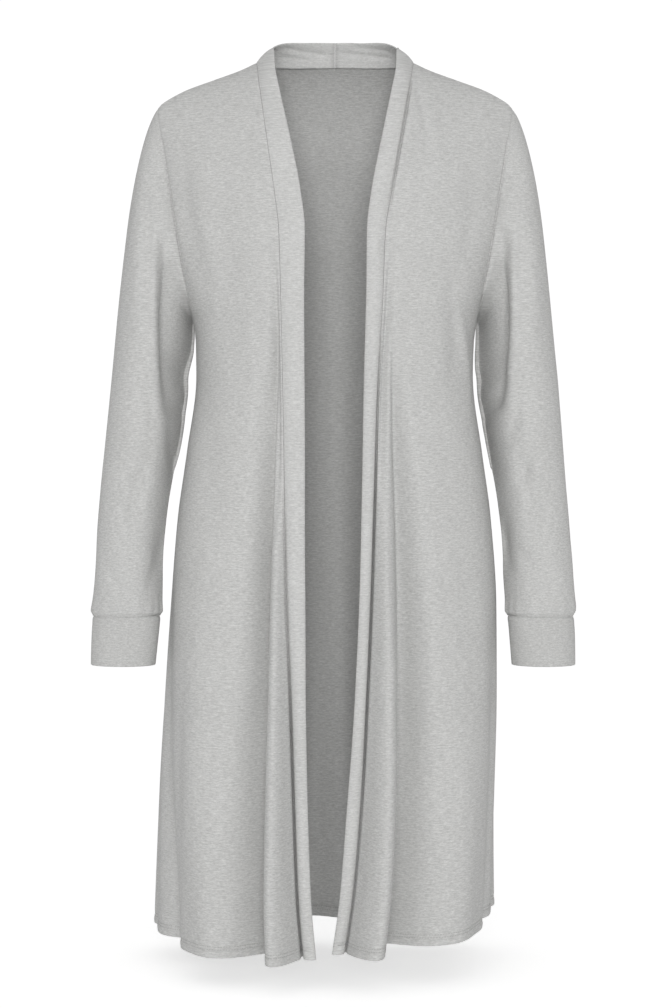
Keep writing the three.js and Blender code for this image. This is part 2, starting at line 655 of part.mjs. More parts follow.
function sleeveFoldPush(turn, z) {
  const degrees = THREE.MathUtils.radToDeg(turn);
  let push = 0;
  for (const fold of SLEEVE_FOLDS) {
    const t = clamp01((fold.top - z) / (fold.top - fold.end));
    const place = mix(fold.place[0], fold.place[1], t);
    push += fold.depth * Math.sin(Math.PI * t) ** 1.5 * bell((degrees - place) / fold.width);
  }
  return push;
}

function sleeveHollow(turn, z) {
  const degrees = THREE.MathUtils.radToDeg(turn);
  let back = 0;
  for (const hollow of SLEEVE_HOLLOWS) {
    const t = clamp01((hollow.top - z) / (hollow.top - hollow.end));
    back += hollow.depth * Math.sin(Math.PI * t) * bell((degrees - hollow.place) / hollow.width);
  }
  return back;
}

// Sleeve: the first ring lies along the armhole, the last one on the cuff
function sleeveGrid(sign, loop) {
  const count = loop.length;
  const turns = loop.map((frame, i) => (2 * Math.PI * i) / count);
  const first = loop.map((frame) => frame.point.clone().addScaledVector(frame.off, SEAM_GAP));
  const misfit = first.map((point, i) => {
    const fitted = ringPoint(sign, SLEEVE_RINGS[0], turns[i]);
    return point.clone().sub(fitted);
  });
  const grid = SLEEVE_RINGS.map((ring, r) => turns.map((turn, i) => {
    if (r === 0) return first[i];
    const point = ringPoint(sign, ring, turn);
    point.addScaledVector(misfit[i], 1 - easeInOut(clamp01(r / SLEEVE_FIT_RINGS)));
    const ease = easeInOut(clamp01((r - SLEEVE_FOLD_FREE_RINGS) / SLEEVE_FOLD_EASE_RINGS));
    const push = sleeveFoldPush(turn, point.z) * ease;
    point.y += sleeveHollow(turn, point.z) * ease - push * Math.sin(turn);
    point.x += push * sign * Math.cos(turn);
    return point;
  }));
  const { drop } = CUFF_RINGS[0];
  const cuffTop = { ...CUFF_RINGS[0], outerDrop: drop, innerDrop: drop };
  grid.push(turns.map((turn) => {
    const point = ringPoint(sign, cuffTop, turn);
    point.z += SEAM_GAP;
    return point;
  }));
  return grid;
}

function sleeveGeometry(sign, loop) {
  const grid = sleeveGrid(sign, loop);
  const outside = sign < 0 ? -1 : 1;
  const normals = gridNormals(grid, true, outside);
  normals[0].forEach((normal, i) => normal.copy(loop[i].normal));
  normals[normals.length - 1].forEach((normal) => flattenNormal(normal, 'z'));
  return wallGeometry(grid, normals, WALL, true, outside);
}

function cuffGeometry(sign) {
  const count = 2 * ARMHOLE_ROWS;
  const grid = CUFF_RINGS.map((ring) => {
    const level = { ...ring, outerDrop: ring.drop, innerDrop: ring.drop };
    const points = [];
    for (let i = 0; i < count; i += 1) {
      points.push(ringPoint(sign, level, (2 * Math.PI * i) / count));
    }
    return points;
  });
  const outside = sign < 0 ? -1 : 1;
  const normals = gridNormals(grid, true, outside);
  normals.flat().forEach((normal) => flattenNormal(normal, 'z'));
  return wallGeometry(grid, normals, CUFF_WALL, true, outside);
}

function clothMesh(name, geometry, colour) {
  const material = new THREE.MeshStandardMaterial({ color: colour, roughness: 0.95, metalness: 0 });
  const mesh = new THREE.Mesh(geometry, material);
  mesh.name = name;
  return mesh;
}

const panels = bodyPanels();
const group = new THREE.Group();

for (const [name, panel] of Object.entries(panels)) {
  const geometry = wallGeometry(panel.grid, panel.normals, WALL, false, panel.outside);
  group.add(clothMesh(name, geometry, COLOURS.panel));
}
for (const side of ['right', 'left']) {
  const { sign } = edges[side];
  const loop = armholeFrames(sign, panels);
  group.add(clothMesh(`band_${side}`, bandGeometry(side, panels), COLOURS.band));
  group.add(clothMesh(`sleeve_${side}`, sleeveGeometry(sign, loop), COLOURS.sleeve));
  group.add(clothMesh(`cuff_${side}`, cuffGeometry(sign), COLOURS.cuff));
}

export default group;
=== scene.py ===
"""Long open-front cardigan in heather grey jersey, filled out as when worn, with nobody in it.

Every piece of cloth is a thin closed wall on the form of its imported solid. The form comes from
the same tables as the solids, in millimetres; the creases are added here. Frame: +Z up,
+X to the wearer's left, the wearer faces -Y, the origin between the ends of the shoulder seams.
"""

import math

import bpy
import numpy as np
from bpy.props import FloatProperty, FloatVectorProperty, PointerProperty
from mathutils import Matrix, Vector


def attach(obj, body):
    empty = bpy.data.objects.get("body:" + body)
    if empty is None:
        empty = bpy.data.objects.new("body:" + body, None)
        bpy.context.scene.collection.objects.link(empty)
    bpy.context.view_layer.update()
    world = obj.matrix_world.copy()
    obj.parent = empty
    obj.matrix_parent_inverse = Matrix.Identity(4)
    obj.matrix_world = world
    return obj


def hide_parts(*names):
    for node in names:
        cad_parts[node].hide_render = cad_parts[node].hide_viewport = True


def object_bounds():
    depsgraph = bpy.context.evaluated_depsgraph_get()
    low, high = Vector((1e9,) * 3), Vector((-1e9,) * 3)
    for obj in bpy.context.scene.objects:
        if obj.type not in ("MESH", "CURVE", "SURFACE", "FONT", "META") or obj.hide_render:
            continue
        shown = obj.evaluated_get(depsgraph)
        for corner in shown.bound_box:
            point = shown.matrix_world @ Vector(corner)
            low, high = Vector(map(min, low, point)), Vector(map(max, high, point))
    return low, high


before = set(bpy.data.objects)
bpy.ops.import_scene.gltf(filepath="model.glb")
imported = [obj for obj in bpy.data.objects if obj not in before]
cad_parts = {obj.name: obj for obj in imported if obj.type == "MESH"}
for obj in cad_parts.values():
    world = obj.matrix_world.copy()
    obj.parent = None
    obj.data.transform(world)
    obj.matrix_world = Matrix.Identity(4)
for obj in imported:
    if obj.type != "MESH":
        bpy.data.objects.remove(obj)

bl_info = {
    "name": "Open-front cardigan",
    "version": (1, 0, 0),
    "blender": (4, 5, 0),
    "location": "View3D > Sidebar > Cardigan",
    "description": "Builds a long open-front jersey cardigan on its packed frame",
    "category": "Add Mesh",
}

CAD_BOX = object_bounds()
MM = 0.001
SHARED = {}


def table(columns, *rows):
    """Rows of named values, with the names given once."""
    return [dict(zip(columns.split(), row)) for row in rows]


# Cut of the garment, as in the solids
NECK_HALF_WIDTH = 87
NECK_LEVEL = -1
NECK_CENTRE_RAISE = 3
SHOULDER_HALF_WIDTH = 195
SHOULDER_LEVEL = -51
UNDERARM_HALF_WIDTH = 156
UNDERARM_LEVEL = -285
HEM_LEVEL = -961
HEM_RAISE_LEFT_SIDE = 20
HEM_RAISE_LEFT_EDGE = 5
FOLD_FREE_SIDE = 24
SEAM_GAP = 0.3
CHEST_ROUNDING = {"reach": 210, "power": 0.62}
BACK_ROUNDING = {"reach": 95, "power": 0.5}
BAND_WIDTH = 31
BAND_FORWARD = -4
NECK_INSET = {"shoulder": 18, "centre_back": 2}
NECK_RISE = {"shoulder": 16.5, "centre_back": 27, "pace": 1.6}
BAND_CROWN_SHARE = {"front": 0.4, "neck": 0.2}
FRONT_RISE_STARTS = -200
SLEEVE_FIT_RINGS = 7
SLEEVE_FOLD_RINGS = 3
SLEEVE_FOLD_POWER = 1.5
SLEEVE_HALF_BLEND = 0.25

# Grid steps of the visible cloth; the finer ones next to a seam are in mm
ARMHOLE_ROWS = 60
SKIRT_ROWS = 150
SEAM_STEPS = (0.5, 0.9, 1.3, 1.8, 2.6, 4.0, 6.0)
SEAM_STEPS_CLEAR = 1.05
FRONT_CLOTH_WIDTH = 210
HEM_FINE_ROWS = 16
FRONT_SIDE_COLUMNS = 46
FRONT_FOLD_COLUMNS = 42
FRONT_FOLD_SHARE = 0.32
BACK_COLUMNS = 136
BACK_NECK_COLUMNS = 40
BAND_COLUMNS = 12
SLEEVE_STEPS_PER_RING = 9
SLEEVE_ARMHOLE_STEPS = 14
SLEEVE_CUFF_STEPS = 25
CUFF_ROWS = 18
CUFF_END_STEPS = (0, 0.8, 1.8, 3.2)
CUFF_END_REACH = 5

# Relief of the seams: depth and half width of the dip along each kind, the slit beside the
# band, and the distances over which creases come in from a seam or the shoulder
GROOVES = {
    "seam": (0.9, 1.7),
    "band_seam": (1.2, 1.8),
    "band_edge": (0.5, 1.6),
    "hem_row": (0.8, 1.2),
    "cuff_seam": (1.6, 1.8),
}
ARMHOLE_GROOVE_TOP = UNDERARM_LEVEL + 200
SEAM_START = 0.8
HEM_SWELLING = 0.6
SLIT_HALF_WIDTH = 1.1
SLIT_STEEPNESS = 8
CREASE_FREE = {"band": 5, "armhole": 14, "sleeve_head": 12, "cuff": 16}
SHOULDER_FREE = 6
FAR_FROM_HEM = 999.0

# Faint unevenness of hanging cloth: lengths of its waves, their sway and their heights
SLACK_UPRIGHT = {"length": 23.0, "sway": 1.7, "sway_length": 131.0, "height": 0.45}
SLACK_SLANTED = {"across": 37.0, "down": 210.0, "turn": 2.1, "height": 0.4}
SLACK_LEVEL = {"length": 47.0, "sway": 1.3, "sway_length": 61.0, "turn": 0.7, "height": 0.16}
SLACK_SEED = {"front": 1.0, "back": 4.4, "sleeve": 2.7}
SLEEVE_SLACK_PACE = {"across": 1.4, "down": 1.6}

# Ripples of the band along its length, gathers of the sleeve above the cuff, ripples of the cuff
BAND_RIPPLES = ((29.0, 0.35, 1), (67.0, 0.25, 2))
BAND_RIPPLE_FREE = 40
BAND_GROOVE_FREE_SHARE = 0.125
NECK_WRINKLE_REACH = 110
GATHERS = {"height": 0.5, "count": 17, "sway": 1.3, "sway_count": 5}
GATHERS_PLACE = {"above_cuff": 7, "reach": 9, "free": 5}
CUFF_RIPPLE = {"height": 0.35, "count": 3, "lean": 21, "free": 12}

# Rounded edge of a wall: share of the way through it, and how far it stands out in thicknesses
ROUND_EDGE = ((0.22, 0.34), (0.5, 0.46), (0.78, 0.34))

# Height of the shoulder crest by distance from the centre line
SHOULDER_CREST = table(
    "across level",
    (0, 28),
    (40, 20),
    (65, 10),
    (87, -1),
    (104, -9),
    (134, -20),
    (164, -31),
    (183, -41),
    (191, -46.5),
    (195, -51),
)

# Level sections of the body, by their drop below the shoulder line
BODY_SECTIONS = table(
    "drop right left chest back side power",
    (0, 206, 206, 105, 84, 4, 2.2),
    (50, 205, 205, 105, 86, 4, 2.2),
    (100, 200, 200, 105, 87, 4, 2.2),
    (150, 192, 192, 106, 88, 4, 2.2),
    (200, 181.5, 181.5, 108, 87, 4, 2.25),
    (240, 171, 171, 110, 85, 5, 2.3),
    (270, 161, 161, 111, 82, 6, 2.35),
    (285, 156, 156, 111, 81, 6, 2.4),
    (312, 153.4, 152.4, 111, 79, 7, 2.5),
    (345, 153, 151.5, 110, 78, 9, 2.6),
    (430, 163.5, 162, 112, 77, 14, 2.7),
    (500, 173.5, 171.5, 116, 77, 20, 2.7),
    (600, 182, 178.5, 124, 76, 26, 2.7),
    (700, 189, 179.5, 135, 74, 32, 2.7),
    (800, 194.5, 177.5, 150, 68, 42, 2.65),
    (900, 197, 174.5, 172, 58, 52, 2.6),
    (961, 198, 173, 185, 52, 56, 2.6),
)

# Distance of the band seam and of the band's edge from the centre line
FRONT_EDGES = table(
    "drop seam_right edge_right seam_left edge_left",
    (1, 87, 69, 87, 70),
    (27, 83.3, 66.5, 82.7, 67.6),
    (48, 80, 62, 79, 63),
    (105, 71.5, 47.8, 69, 49.8),
    (150, 65, 38, 61, 40),
    (193, 60, 33, 54, 34.5),
    (268, 58, 33.8, 51, 33.8),
    (373, 56.3, 33.7, 46.3, 31.6),
    (479, 54.8, 33.7, 43.2, 30),
    (584, 52.7, 33.2, 40, 27.4),
    (689, 48.5, 32.6, 35.7, 23.1),
    (794, 45.2, 31, 30.5, 15.8),
    (899, 41.3, 27.3, 21.5, 7.4),
    (961, 36, 22, 12, -2),
)

# Hanging folds of the fronts, as in the solids: away is the distance from the band seam, and
# near the half width on the side of the band; pairs hold at the fold's top and at the hem
FRONT_FOLDS = {
    "right": table(
        "top away near width depth power",
        (-250, (1, 0), (5, 6.5), (5, 6.5), -13, 1),
        (-430, (3, 21), (4, 15), (4, 15), 34, 1.2),
        (-300, (6, 39), (2, 5), (8, 27), -42, 0.6),
        (-450, (85, 100), (35, 32), (35, 32), 12, 1.5),
        (-500, (174, 198), (26, 27), (26, 27), -30, 1.8),
    ),
    "left": table(
        "top away near width depth power",
        (-250, (1, 0), (5, 6.5), (5, 6.5), -15, 1),
        (-380, (6, 26), (5, 17), (5, 17), 34, 1.1),
        (-300, (12, 56), (3, 12), (6, 32), -46, 0.7),
        (-520, (120, 135), (28, 30), (28, 30), 9, 1.5),
        (-560, (150, 226), (14, 16), (14, 16), -15, 1.4),
    ),
}

# Hanging folds of the back, as in the solids: across is measured from the centre line
BACK_FOLDS = table(
    "top across width depth power",
    (-600, (-186, -190), (14, 20), 14, 1.5),
    (-420, (-128, -138), (22, 24), -12, 1.4),
    (-380, (-78, -88), (20, 25), 12, 1.4),
    (-190, (-18, -22), (13, 15), 5, 0.7),
    (-190, (6, 8), (15, 17), -7, 0.7),
    (-190, (30, 36), (14, 16), 6, 0.7),
    (-400, (72, 78), (20, 24), -12, 1.4),
    (-460, (118, 122), (22, 24), 11, 1.4),
    (-600, (164, 168), (14, 20), 16, 1.5),
)

# Sleeve rings, with the ring that meets the cuff last; their inner edge under the arm lies up
# to 3.5 mm nearer the body than the solid's
SLEEVE_RINGS = table(
    "outer outer_drop inner inner_drop depth middle",
    (195, 51, 156, 285, 60, 5),
    (200.5, 60, 156.4, 281.6, 61, 5),
    (207, 76, 157.2, 281.8, 61, 4),
    (214, 100, 157.3, 285, 61, 3),
    (221, 132, 157, 289, 61, 2),
    (227, 170, 156.7, 295, 60, 1),
    (232, 215, 156.4, 304, 59, 0),
    (237, 265, 156.6, 318, 58, -1),
    (242, 318, 160, 342, 55, -3),
    (247, 370, 164.5, 378, 50, -6),
    (252, 422, 170.5, 422, 45, -9),
    (256.5, 468, 179.5, 466, 41, -12),
    (260, 515, 185, 512, 37, -15),
    (261.3, 560, 187.5, 558, 34, -18),
    (264, 592, 188, 592, 32.5, -20),
    (266, 602, 188, 602, 32, -20),
    (264.5, 606.7, 190.5, 606.7, 30, -20),
)

# How much nearer the body the two edges of the wearer's left sleeve lie than the rings say
LEFT_SLEEVE_LEAN = table(
    "drop inner outer",
    (285, 0, 0),
    (304, 0.4, 0),
    (318, 1.4, 0),
    (342, 4.5, 0),
    (378, 4, 0.8),
    (422, 2.6, 1.8),
    (466, 3.5, 3),
    (512, 3.5, 3.4),
    (558, 3.8, 2),
    (592, 2.6, 2.4),
    (607, 2.5, 4),
    (660, 2.5, 3.6),
)

# Folds along the sleeve: place is the way round it in degrees from its outer edge, at the top
# and the end of the fold
SLEEVE_FOLDS = table(
    "place width depth top end",
    ((108, 132), 16, -9, -150, -400),
    ((72, 84), 14, -4, -140, -330),
    ((112, 84), 14, -5, -380, -560),
    ((246, 232), 17, -8, -170, -420),
    ((262, 286), 15, -5, -360, -560),
)

# Upright line through the sleeve, from which the level way round the cloth is measured
SLEEVE_RADIUS = 48
SLEEVE_AXIS = table(
    "drop x y",
    (51, 190, 5),
    (170, 194, 4),
    (285, 198, 0),
    (340, 202, -4),
    (422, 211, -9),
    (515, 222, -15),
    (592, 226, -20),
    (660, 229, -22),
)

# Hollows of the sleeve under the arm, where its front lies further back
SLEEVE_HOLLOWS = table(
    "place width depth top end",
    ((164, 164), 30, 40, -165, -480),
    ((160, 160), 26, 14, -340, -640),
)

CUFF_RINGS = table(
    "drop outer inner depth middle",
    (607, 264.5, 190.5, 30, -20),
    (630, 265.5, 192.5, 29.5, -21),
    (660, 266, 195.3, 29, -22),
)

# Part of a sine's arch that a crease swells along, and its power
STROKE_SWELL = (0.1, 0.9)
STROKE_POWER = 0.9

# Soft creases, placed one by one in the front view: each runs from start to end, (x, z) in mm,
# bends sideways by bow, and is width wide to each side; depth is out of the cloth, - for a trough
FRONT_CREASES = {
    "right": table(
        "start end bow width depth",
        ((-164, -110), (-140, -250), 5, 9, -2.2),
        ((-148, -95), (-128, -235), 6, 12, 1.4),
        ((-118, -120), (-108, -330), 4, 14, -1.6),
        ((-90, -150), (-92, -420), -4, 12, 1.2),
        ((-150, -300), (-132, -520), -5, 14, -1.8),
        ((-63, -230), (-65, -520), -2, 5, -8),
        ((-72, -420), (-79, -700), -3, 9, -4),
        ((-166, -700), (-172, -930), 2, 8, -3.2),
        ((-140, -560), (-150, -880), 6, 16, 2.0),
        ((-110, -480), (-106, -860), -6, 14, -1.6),
    ),
    "left": table(
        "start end bow width depth",
        ((82, -8), (98, -108), -5, 5, -2.6),
        ((92, -20), (112, -150), -6, 8, 1.4),
        ((120, -225), (127, -365), -5, 9, -2.6),
        ((130, -262), (146, -385), -3, 4.5, 2.4),
        ((150, -110), (134, -240), -5, 10, -1.6),
        ((58, -230), (50, -470), 2, 4.5, -7),
        ((60, -400), (66, -640), 4, 9, -4),
        ((104, -420), (108, -760), 5, 15, 1.8),
        ((140, -520), (150, -860), -5, 14, -2.2),
        ((122, -660), (120, -930), 4, 12, -1.8),
    ),
}

BACK_CREASES = table(
    "start end bow width depth",
    ((-150, -100), (-128, -250), 6, 12, -2.0),
    ((150, -105), (130, -262), -6, 12, -2.2),
    ((-104, -140), (-96, -380), 5, 15, -1.6),
    ((98, -150), (104, -400), -5, 15, 1.4),
    ((-134, -262), (-92, -352), 6, 9, -2.2),
    ((138, -268), (98, -344), -6, 9, -2.0),
    ((-60, -330), (-52, -620), -5, 14, 1.6),
    ((56, -300), (48, -560), 5, 13, -1.6),
    ((-150, -560), (-160, -900), 5, 16, 1.8),
    ((110, -640), (98, -920), 5, 13, 1.8),
)

# Sleeve creases, on the front and on the back of each sleeve
SLEEVE_CREASES = {
    "right": {
        "front": table(
            "start end bow width depth",
            ((-185, -200), (-177, -385), 2, 8, -15),
            ((-178, -235), (-167, -350), 2, 11, -16),
            ((-206, -150), (-201, -212), 0, 6, -3.0),
            ((-198, -190), (-188, -350), -1, 6, 3.2),
            ((-214, -160), (-206, -330), 3, 8, 1.8),
            ((-203, -330), (-196, -400), 2, 6, -3.2),
            ((-178, -392), (-176, -450), 2, 5, -4.2),
            ((-234, -448), (-197, -474), -3, 5, -3.0),
            ((-244, -484), (-204, -506), -3, 5, -2.6),
            ((-216, -418), (-188, -462), 4, 6, 2.4),
            ((-236, -512), (-198, -545), -4, 6, 2.2),
            ((-190, -520), (-204, -580), -4, 6, -3.2),
            ((-250, -540), (-226, -585), 4, 7, -2.0),
        ),
        "back": table(
            "start end bow width depth",
            ((-186, -185), (-166, -345), 2, 9, -7),
            ((-212, -170), (-200, -330), -3, 9, 2.2),
            ((-240, -420), (-190, -452), 5, 7, -3.0),
            ((-236, -470), (-194, -492), 4, 7, 2.4),
            ((-248, -520), (-206, -560), 4, 7, -2.6),
        ),
    },
    "left": {
        "front": table(
            "start end bow width depth",
            ((182, -195), (174, -375), -2, 8, -15),
            ((175, -238), (164, -350), -2, 11, -16),
            ((194, -192), (184, -345), 1, 6, 3.4),
            ((178, -345), (166, -392), -3, 6, -4.2),
            ((203, -335), (196, -372), -2, 6, -3.0),
            ((197, -382), (184, -420), -3, 6, -3.6),
            ((214, -190), (208, -330), -3, 9, 1.8),
            ((230, -420), (192, -470), 5, 6, -2.8),
            ((240, -470), (206, -500), 4, 6, -2.4),
            ((222, -440), (200, -492), -4, 7, 2.2),
            ((186, -505), (190, -556), 3, 5, -4.0),
            ((195, -534), (214, -556), -3, 5, -3.0),
            ((234, -520), (248, -575), 4, 8, 2.0),
        ),
        "back": table(
            "start end bow width depth",
            ((186, -180), (165, -345), -2, 9, -7),
            ((214, -180), (202, -340), 3, 9, 2.2),
            ((242, -428), (192, -460), -5, 7, -3.0),
            ((234, -478), (196, -498), -4, 7, 2.2),
            ((250, -528), (208, -566), -4, 7, -2.4),
        ),
    },
}

# Wrinkles across the standing band at the back of the neck: place along it in mm from the
# centre back, height on it as a share of its width
NECK_WRINKLES = table(
    "from to width depth",
    ((-62, 0.8), (-8, 0.52), 3.2, 2.4),
    ((-66, 0.45), (-34, 0.34), 2.8, 2.0),
    ((10, 0.62), (66, 0.4), 3.2, 2.4),
    ((26, 0.85), (70, 0.66), 3.0, 2.0),
)

# Seam of the band, sunk between the front and the band: it starts at top, is deepest from full
# to fade and is level again at end, all as heights
SEAM_SLITS = {
    "right": table(
        "top full fade end depth",
        (-430, -600, -1100, -1200, 4),
        (-620, -760, -1100, -1200, 9),
    ),
    "left": table(
        "top full fade end depth",
        (-8, -45, -110, -190, 4.5),
        (-270, -400, -1100, -1200, 7),
        (-380, -500, -720, -860, 6),
    ),
}

# Kinds of jersey: strength of the yarn's streaks and of the relief of its loops
JERSEYS = {
    "jersey": {"name": "heather_jersey", "streaks": 0.105, "bump": 0.6},
    "band": {"name": "heather_jersey_band", "streaks": 0.085, "bump": 0.5},
    "cuff": {"name": "heather_jersey_cuff", "streaks": 0.1, "bump": 0.6},
}
JERSEY_SURFACE = {
    "Roughness": 0.92,
    "Specular IOR Level": 0.22,
    "Sheen Weight": 0.12,
    "Sheen Roughness": 0.5,
}

# Noises that tone the yarn, in repeats per metre across and down the cloth; low to high is the
# stretch of the noise used, and swing its strength as a share of the streaks
YARN_NOISES = table(
    "across down detail roughness low high swing",
    (95, 620, 3, 0.65, 0.3, 0.7, 1),
    (260, 860, 2, 0.6, 0.3, 0.7, 1),
    (1000, 1300, 2, 0.6, 0.25, 0.75, 0.8),
)
CLOUD_NOISE = {"across": 14, "down": 22, "detail": 2, "roughness": 0.5, "low": 0.3, "high": 0.7}
CLOUD_SWING = 0.015
YARN_RELIEF_NOISE = {"across": 160, "down": 700, "detail": 3, "roughness": 0.6}
LOOP_WAVES = table("direction scale distortion", ("X", 340, 1.2), ("Y", 420, 1.5))
LOOP_WAVE_DETAIL_SCALE = 1.5
LOOP_RELIEF = 0.35 * MM
THREAD_ROUGHNESS = 0.6
THREAD_NOISE_SCALE = 900
THREAD_TONES = (0.85, 1.08)
STITCH_LIFT = 0.1

# Stage: a floor and a backdrop that look lighter than the light they give
FLOOR_REACH = 30.0
FLOOR_TONE = 0.9
FLOOR_ROUGHNESS = 0.9
FLOOR_GLOW = {"given": 0.12, "seen": 0.55}
BACKDROP_SEEN = 1.03
SENSOR_WIDTH = 36
PICTURE_HEIGHT = 1008
PICTURE_SHIFT = (1, -74)
CAMERA_CLIP_END = 100


def colour_setting(name, description, default):
    return FloatVectorProperty(
        name=name, description=description, subtype="COLOR", default=default, min=0, max=1,
    )


def length_setting(name, description, default, low, high):
    return FloatProperty(
        name=name, description=description, default=default, min=low, max=high,
        subtype="DISTANCE", unit="LENGTH",
    )


def angle_setting(name, description, degrees, high=math.pi):
    return FloatProperty(
        name=name, description=description, default=math.radians(degrees), min=0, max=high,
        subtype="ANGLE", unit="ROTATION",
    )


def amount_setting(name, description, default, high, low=0):
    return FloatProperty(name=name, description=description, default=default, min=low, max=high)


class ClothSettings(bpy.types.PropertyGroup):
    """Sizes and colours of the cloth"""

    jersey_colour: colour_setting("Jersey", "Colour of the heather grey jersey", (0.57, 0.57, 0.56))
    band_colour: colour_setting("Band", "Colour of the doubled neck and front band", (0.59, 0.59, 0.58))
    cuff_colour: colour_setting("Cuff", "Colour of the doubled cuffs", (0.55, 0.55, 0.54))
    # The thread's colour is set darker than the jersey as painted shade: it stands in for the shadow
    # along the sunk hem stitch rows.
    thread_colour: colour_setting("Thread", "Colour of the sewing thread", (0.36, 0.36, 0.35))
    jersey_wall: length_setting(
        "Jersey thickness", "Thickness of one layer of jersey", 1.0 * MM, 0.3 * MM, 3 * MM,
    )
    band_wall: length_setting(
        "Band thickness", "Thickness of the doubled band", 1.7 * MM, 0.6 * MM, 4 * MM,
    )
    cuff_wall: length_setting(
        "Cuff thickness", "Thickness of the doubled cuffs", 2.0 * MM, 0.6 * MM, 4 * MM,
    )
    crease_depth: amount_setting("Crease depth", "Scale of the soft creases", 1.0, 2)


class StitchSettings(bpy.types.PropertyGroup):
    """Sizes of the hem stitching"""

    pitch: length_setting("Pitch", "Distance from stitch to stitch", 3.0 * MM, 1 * MM, 8 * MM)
    length: length_setting("Length", "Length of one stitch", 2.3 * MM, 0.5 * MM, 6 * MM)
    thickness: length_setting("Thread thickness", "Thickness of the thread", 0.55 * MM, 0.1 * MM, 1 * MM)
    hem_depth: length_setting(
        "Hem depth", "Height of the upper stitch row above the hem", 11.0 * MM, 5 * MM, 30 * MM,
    )
    row_gap: length_setting(
        "Row gap", "Distance between the two stitch rows", 2.6 * MM, 1 * MM, 8 * MM,
    )


class StageSettings(bpy.types.PropertyGroup):
    """Camera, floor and lights"""

    camera_distance: length_setting(
        "Camera distance", "From the camera to the middle of the garment", 2.7, 1, 10,
    )
    camera_height: length_setting(
        "Camera height", "Height of the camera in the garment's frame", -0.405, -2, 2,
    )
    lens: amount_setting("Lens", "Focal length in mm", 87.66, 200, low=20)
    floor_gap: length_setting("Floor gap", "Clearance under the hem", 0.03, 0, 0.5)
    front_strength: amount_setting("Front light", "Strength of the light from the front", 1.5, 20)
    front_angle: angle_setting("Front softness", "Angle that the front light fills", 22)
    side_strength: amount_setting(
        "Side lights", "Strength of each light from front left and right", 0.12, 20,
    )
    side_angle: angle_setting("Side softness", "Angle that each side light fills", 40)
    side_turn: angle_setting("Side turn", "Turn of the side lights away from the front", 42)
    light_height: angle_setting("Light height", "Height of the lights over the horizon", 9, math.pi / 2)
    room_strength: amount_setting("Room light", "Strength of the even light from all round", 0.46, 3)


def mix(a, b, t):
    return a + (b - a) * t


def clamp01(t):
    return np.clip(t, 0.0, 1.0)


def ease(t):
    return t * t * (3 - 2 * t)


def cosine_step(t):
    return (1 - np.cos(np.pi * t)) / 2


def bell(t):
    return np.exp(-t * t)


def unit(vectors):
    return vectors / np.maximum(np.linalg.norm(vectors, axis=-1, keepdims=True), 1e-12)


def smooth_curve(knots, values):
    """Smooth curve through the values at the knots, without overshoot."""
    knots = np.asarray(knots, float)
    values = np.asarray(values, float)
    grades = np.diff(values) / np.diff(knots)
    slopes = np.concatenate(([grades[0]], np.zeros(len(knots) - 2), [grades[-1]]))
    before, after = grades[:-1], grades[1:]
    total = np.where(before * after > 0, before + after, 1.0)
    slopes[1:-1] = np.where(before * after > 0, 2 * before * after / total, 0.0)

    def curve(place):
        place = np.clip(place, knots[0], knots[-1])
        i = np.clip(np.searchsorted(knots, place, side="right") - 1, 0, len(knots) - 2)
        span = knots[i + 1] - knots[i]
        t = (place - knots[i]) / span
        bend = t * (1 - t) * span
        return mix(values[i], values[i + 1], ease(t)) + bend * ((1 - t) * slopes[i] - t * slopes[i + 1])

    return curve


def drop_curve(rows, column):
    curve = smooth_curve([row["drop"] for row in rows], [row[column] for row in rows])
    return lambda z: curve(-np.asarray(z, float))


def ring_curve(rows, column):
    return smooth_curve(range(len(rows)), [row[column] for row in rows])


HALF_WIDTH = {-1: drop_curve(BODY_SECTIONS, "right"), 1: drop_curve(BODY_SECTIONS, "left")}
CHEST_DEPTH = drop_curve(BODY_SECTIONS, "chest")
BACK_DEPTH = drop_curve(BODY_SECTIONS, "back")
SIDE_LINE = drop_curve(BODY_SECTIONS, "side")
SECTION_POWER = drop_curve(BODY_SECTIONS, "power")
CREST_LEVEL = smooth_curve(*zip(*((row["across"], row["level"]) for row in SHOULDER_CREST)))
LEAN_OF_INNER = drop_curve(LEFT_SLEEVE_LEAN, "inner")
LEAN_OF_OUTER = drop_curve(LEFT_SLEEVE_LEAN, "outer")
SIDES = {
    side: {
        "sign": sign,
        "seam": drop_curve(FRONT_EDGES, "seam_" + side),
        "edge": drop_curve(FRONT_EDGES, "edge_" + side),
    }
    for side, sign in (("right", -1), ("left", 1))
}


def half_width(x, z):
    return np.where(x < 0, HALF_WIDTH[-1](z), HALF_WIDTH[1](z))


def crest_height(x):
    return CREST_LEVEL(np.abs(x))


def armhole_half_width(z):
    t = (SHOULDER_LEVEL - z) / (SHOULDER_LEVEL - UNDERARM_LEVEL)
    return mix(SHOULDER_HALF_WIDTH, UNDERARM_HALF_WIDTH, t)


def body_points(facing, x, z, push):
    """Points of the body surface; facing is -1 for the chest and +1 for the back."""
    half = half_width(x, z)
    depth = CHEST_DEPTH(z) if facing < 0 else BACK_DEPTH(z)
    rounding = CHEST_ROUNDING if facing < 0 else BACK_ROUNDING
    below = clamp01((crest_height(x) - z) / rounding["reach"])
    over = (1 - (1 - below) ** 2) ** rounding["power"]
    power = SECTION_POWER(z)
    outward = clamp01(np.abs(x) / half) ** power
    y = facing * depth * np.maximum(0, 1 - outward) ** (1 / power) * over
    normal = unit(np.stack([x / half**2, y / depth**2], axis=-1))
    return np.stack([x + push * normal[..., 0], SIDE_LINE(z) + y + push * normal[..., 1], z], axis=-1)


def fold_growth(fold, z):
    return clamp01((fold["top"] - z) / (fold["top"] - HEM_LEVEL))


def fold_push(fold, distance, z):
    growth = fold_growth(fold, z)
    near = fold.get("near", fold["width"])
    width = mix(fold["width"][0], fold["width"][1], growth)
    width = np.where(distance < 0, mix(near[0], near[1], growth), width)
    return fold["depth"] * growth ** fold["power"] * bell(distance / width)


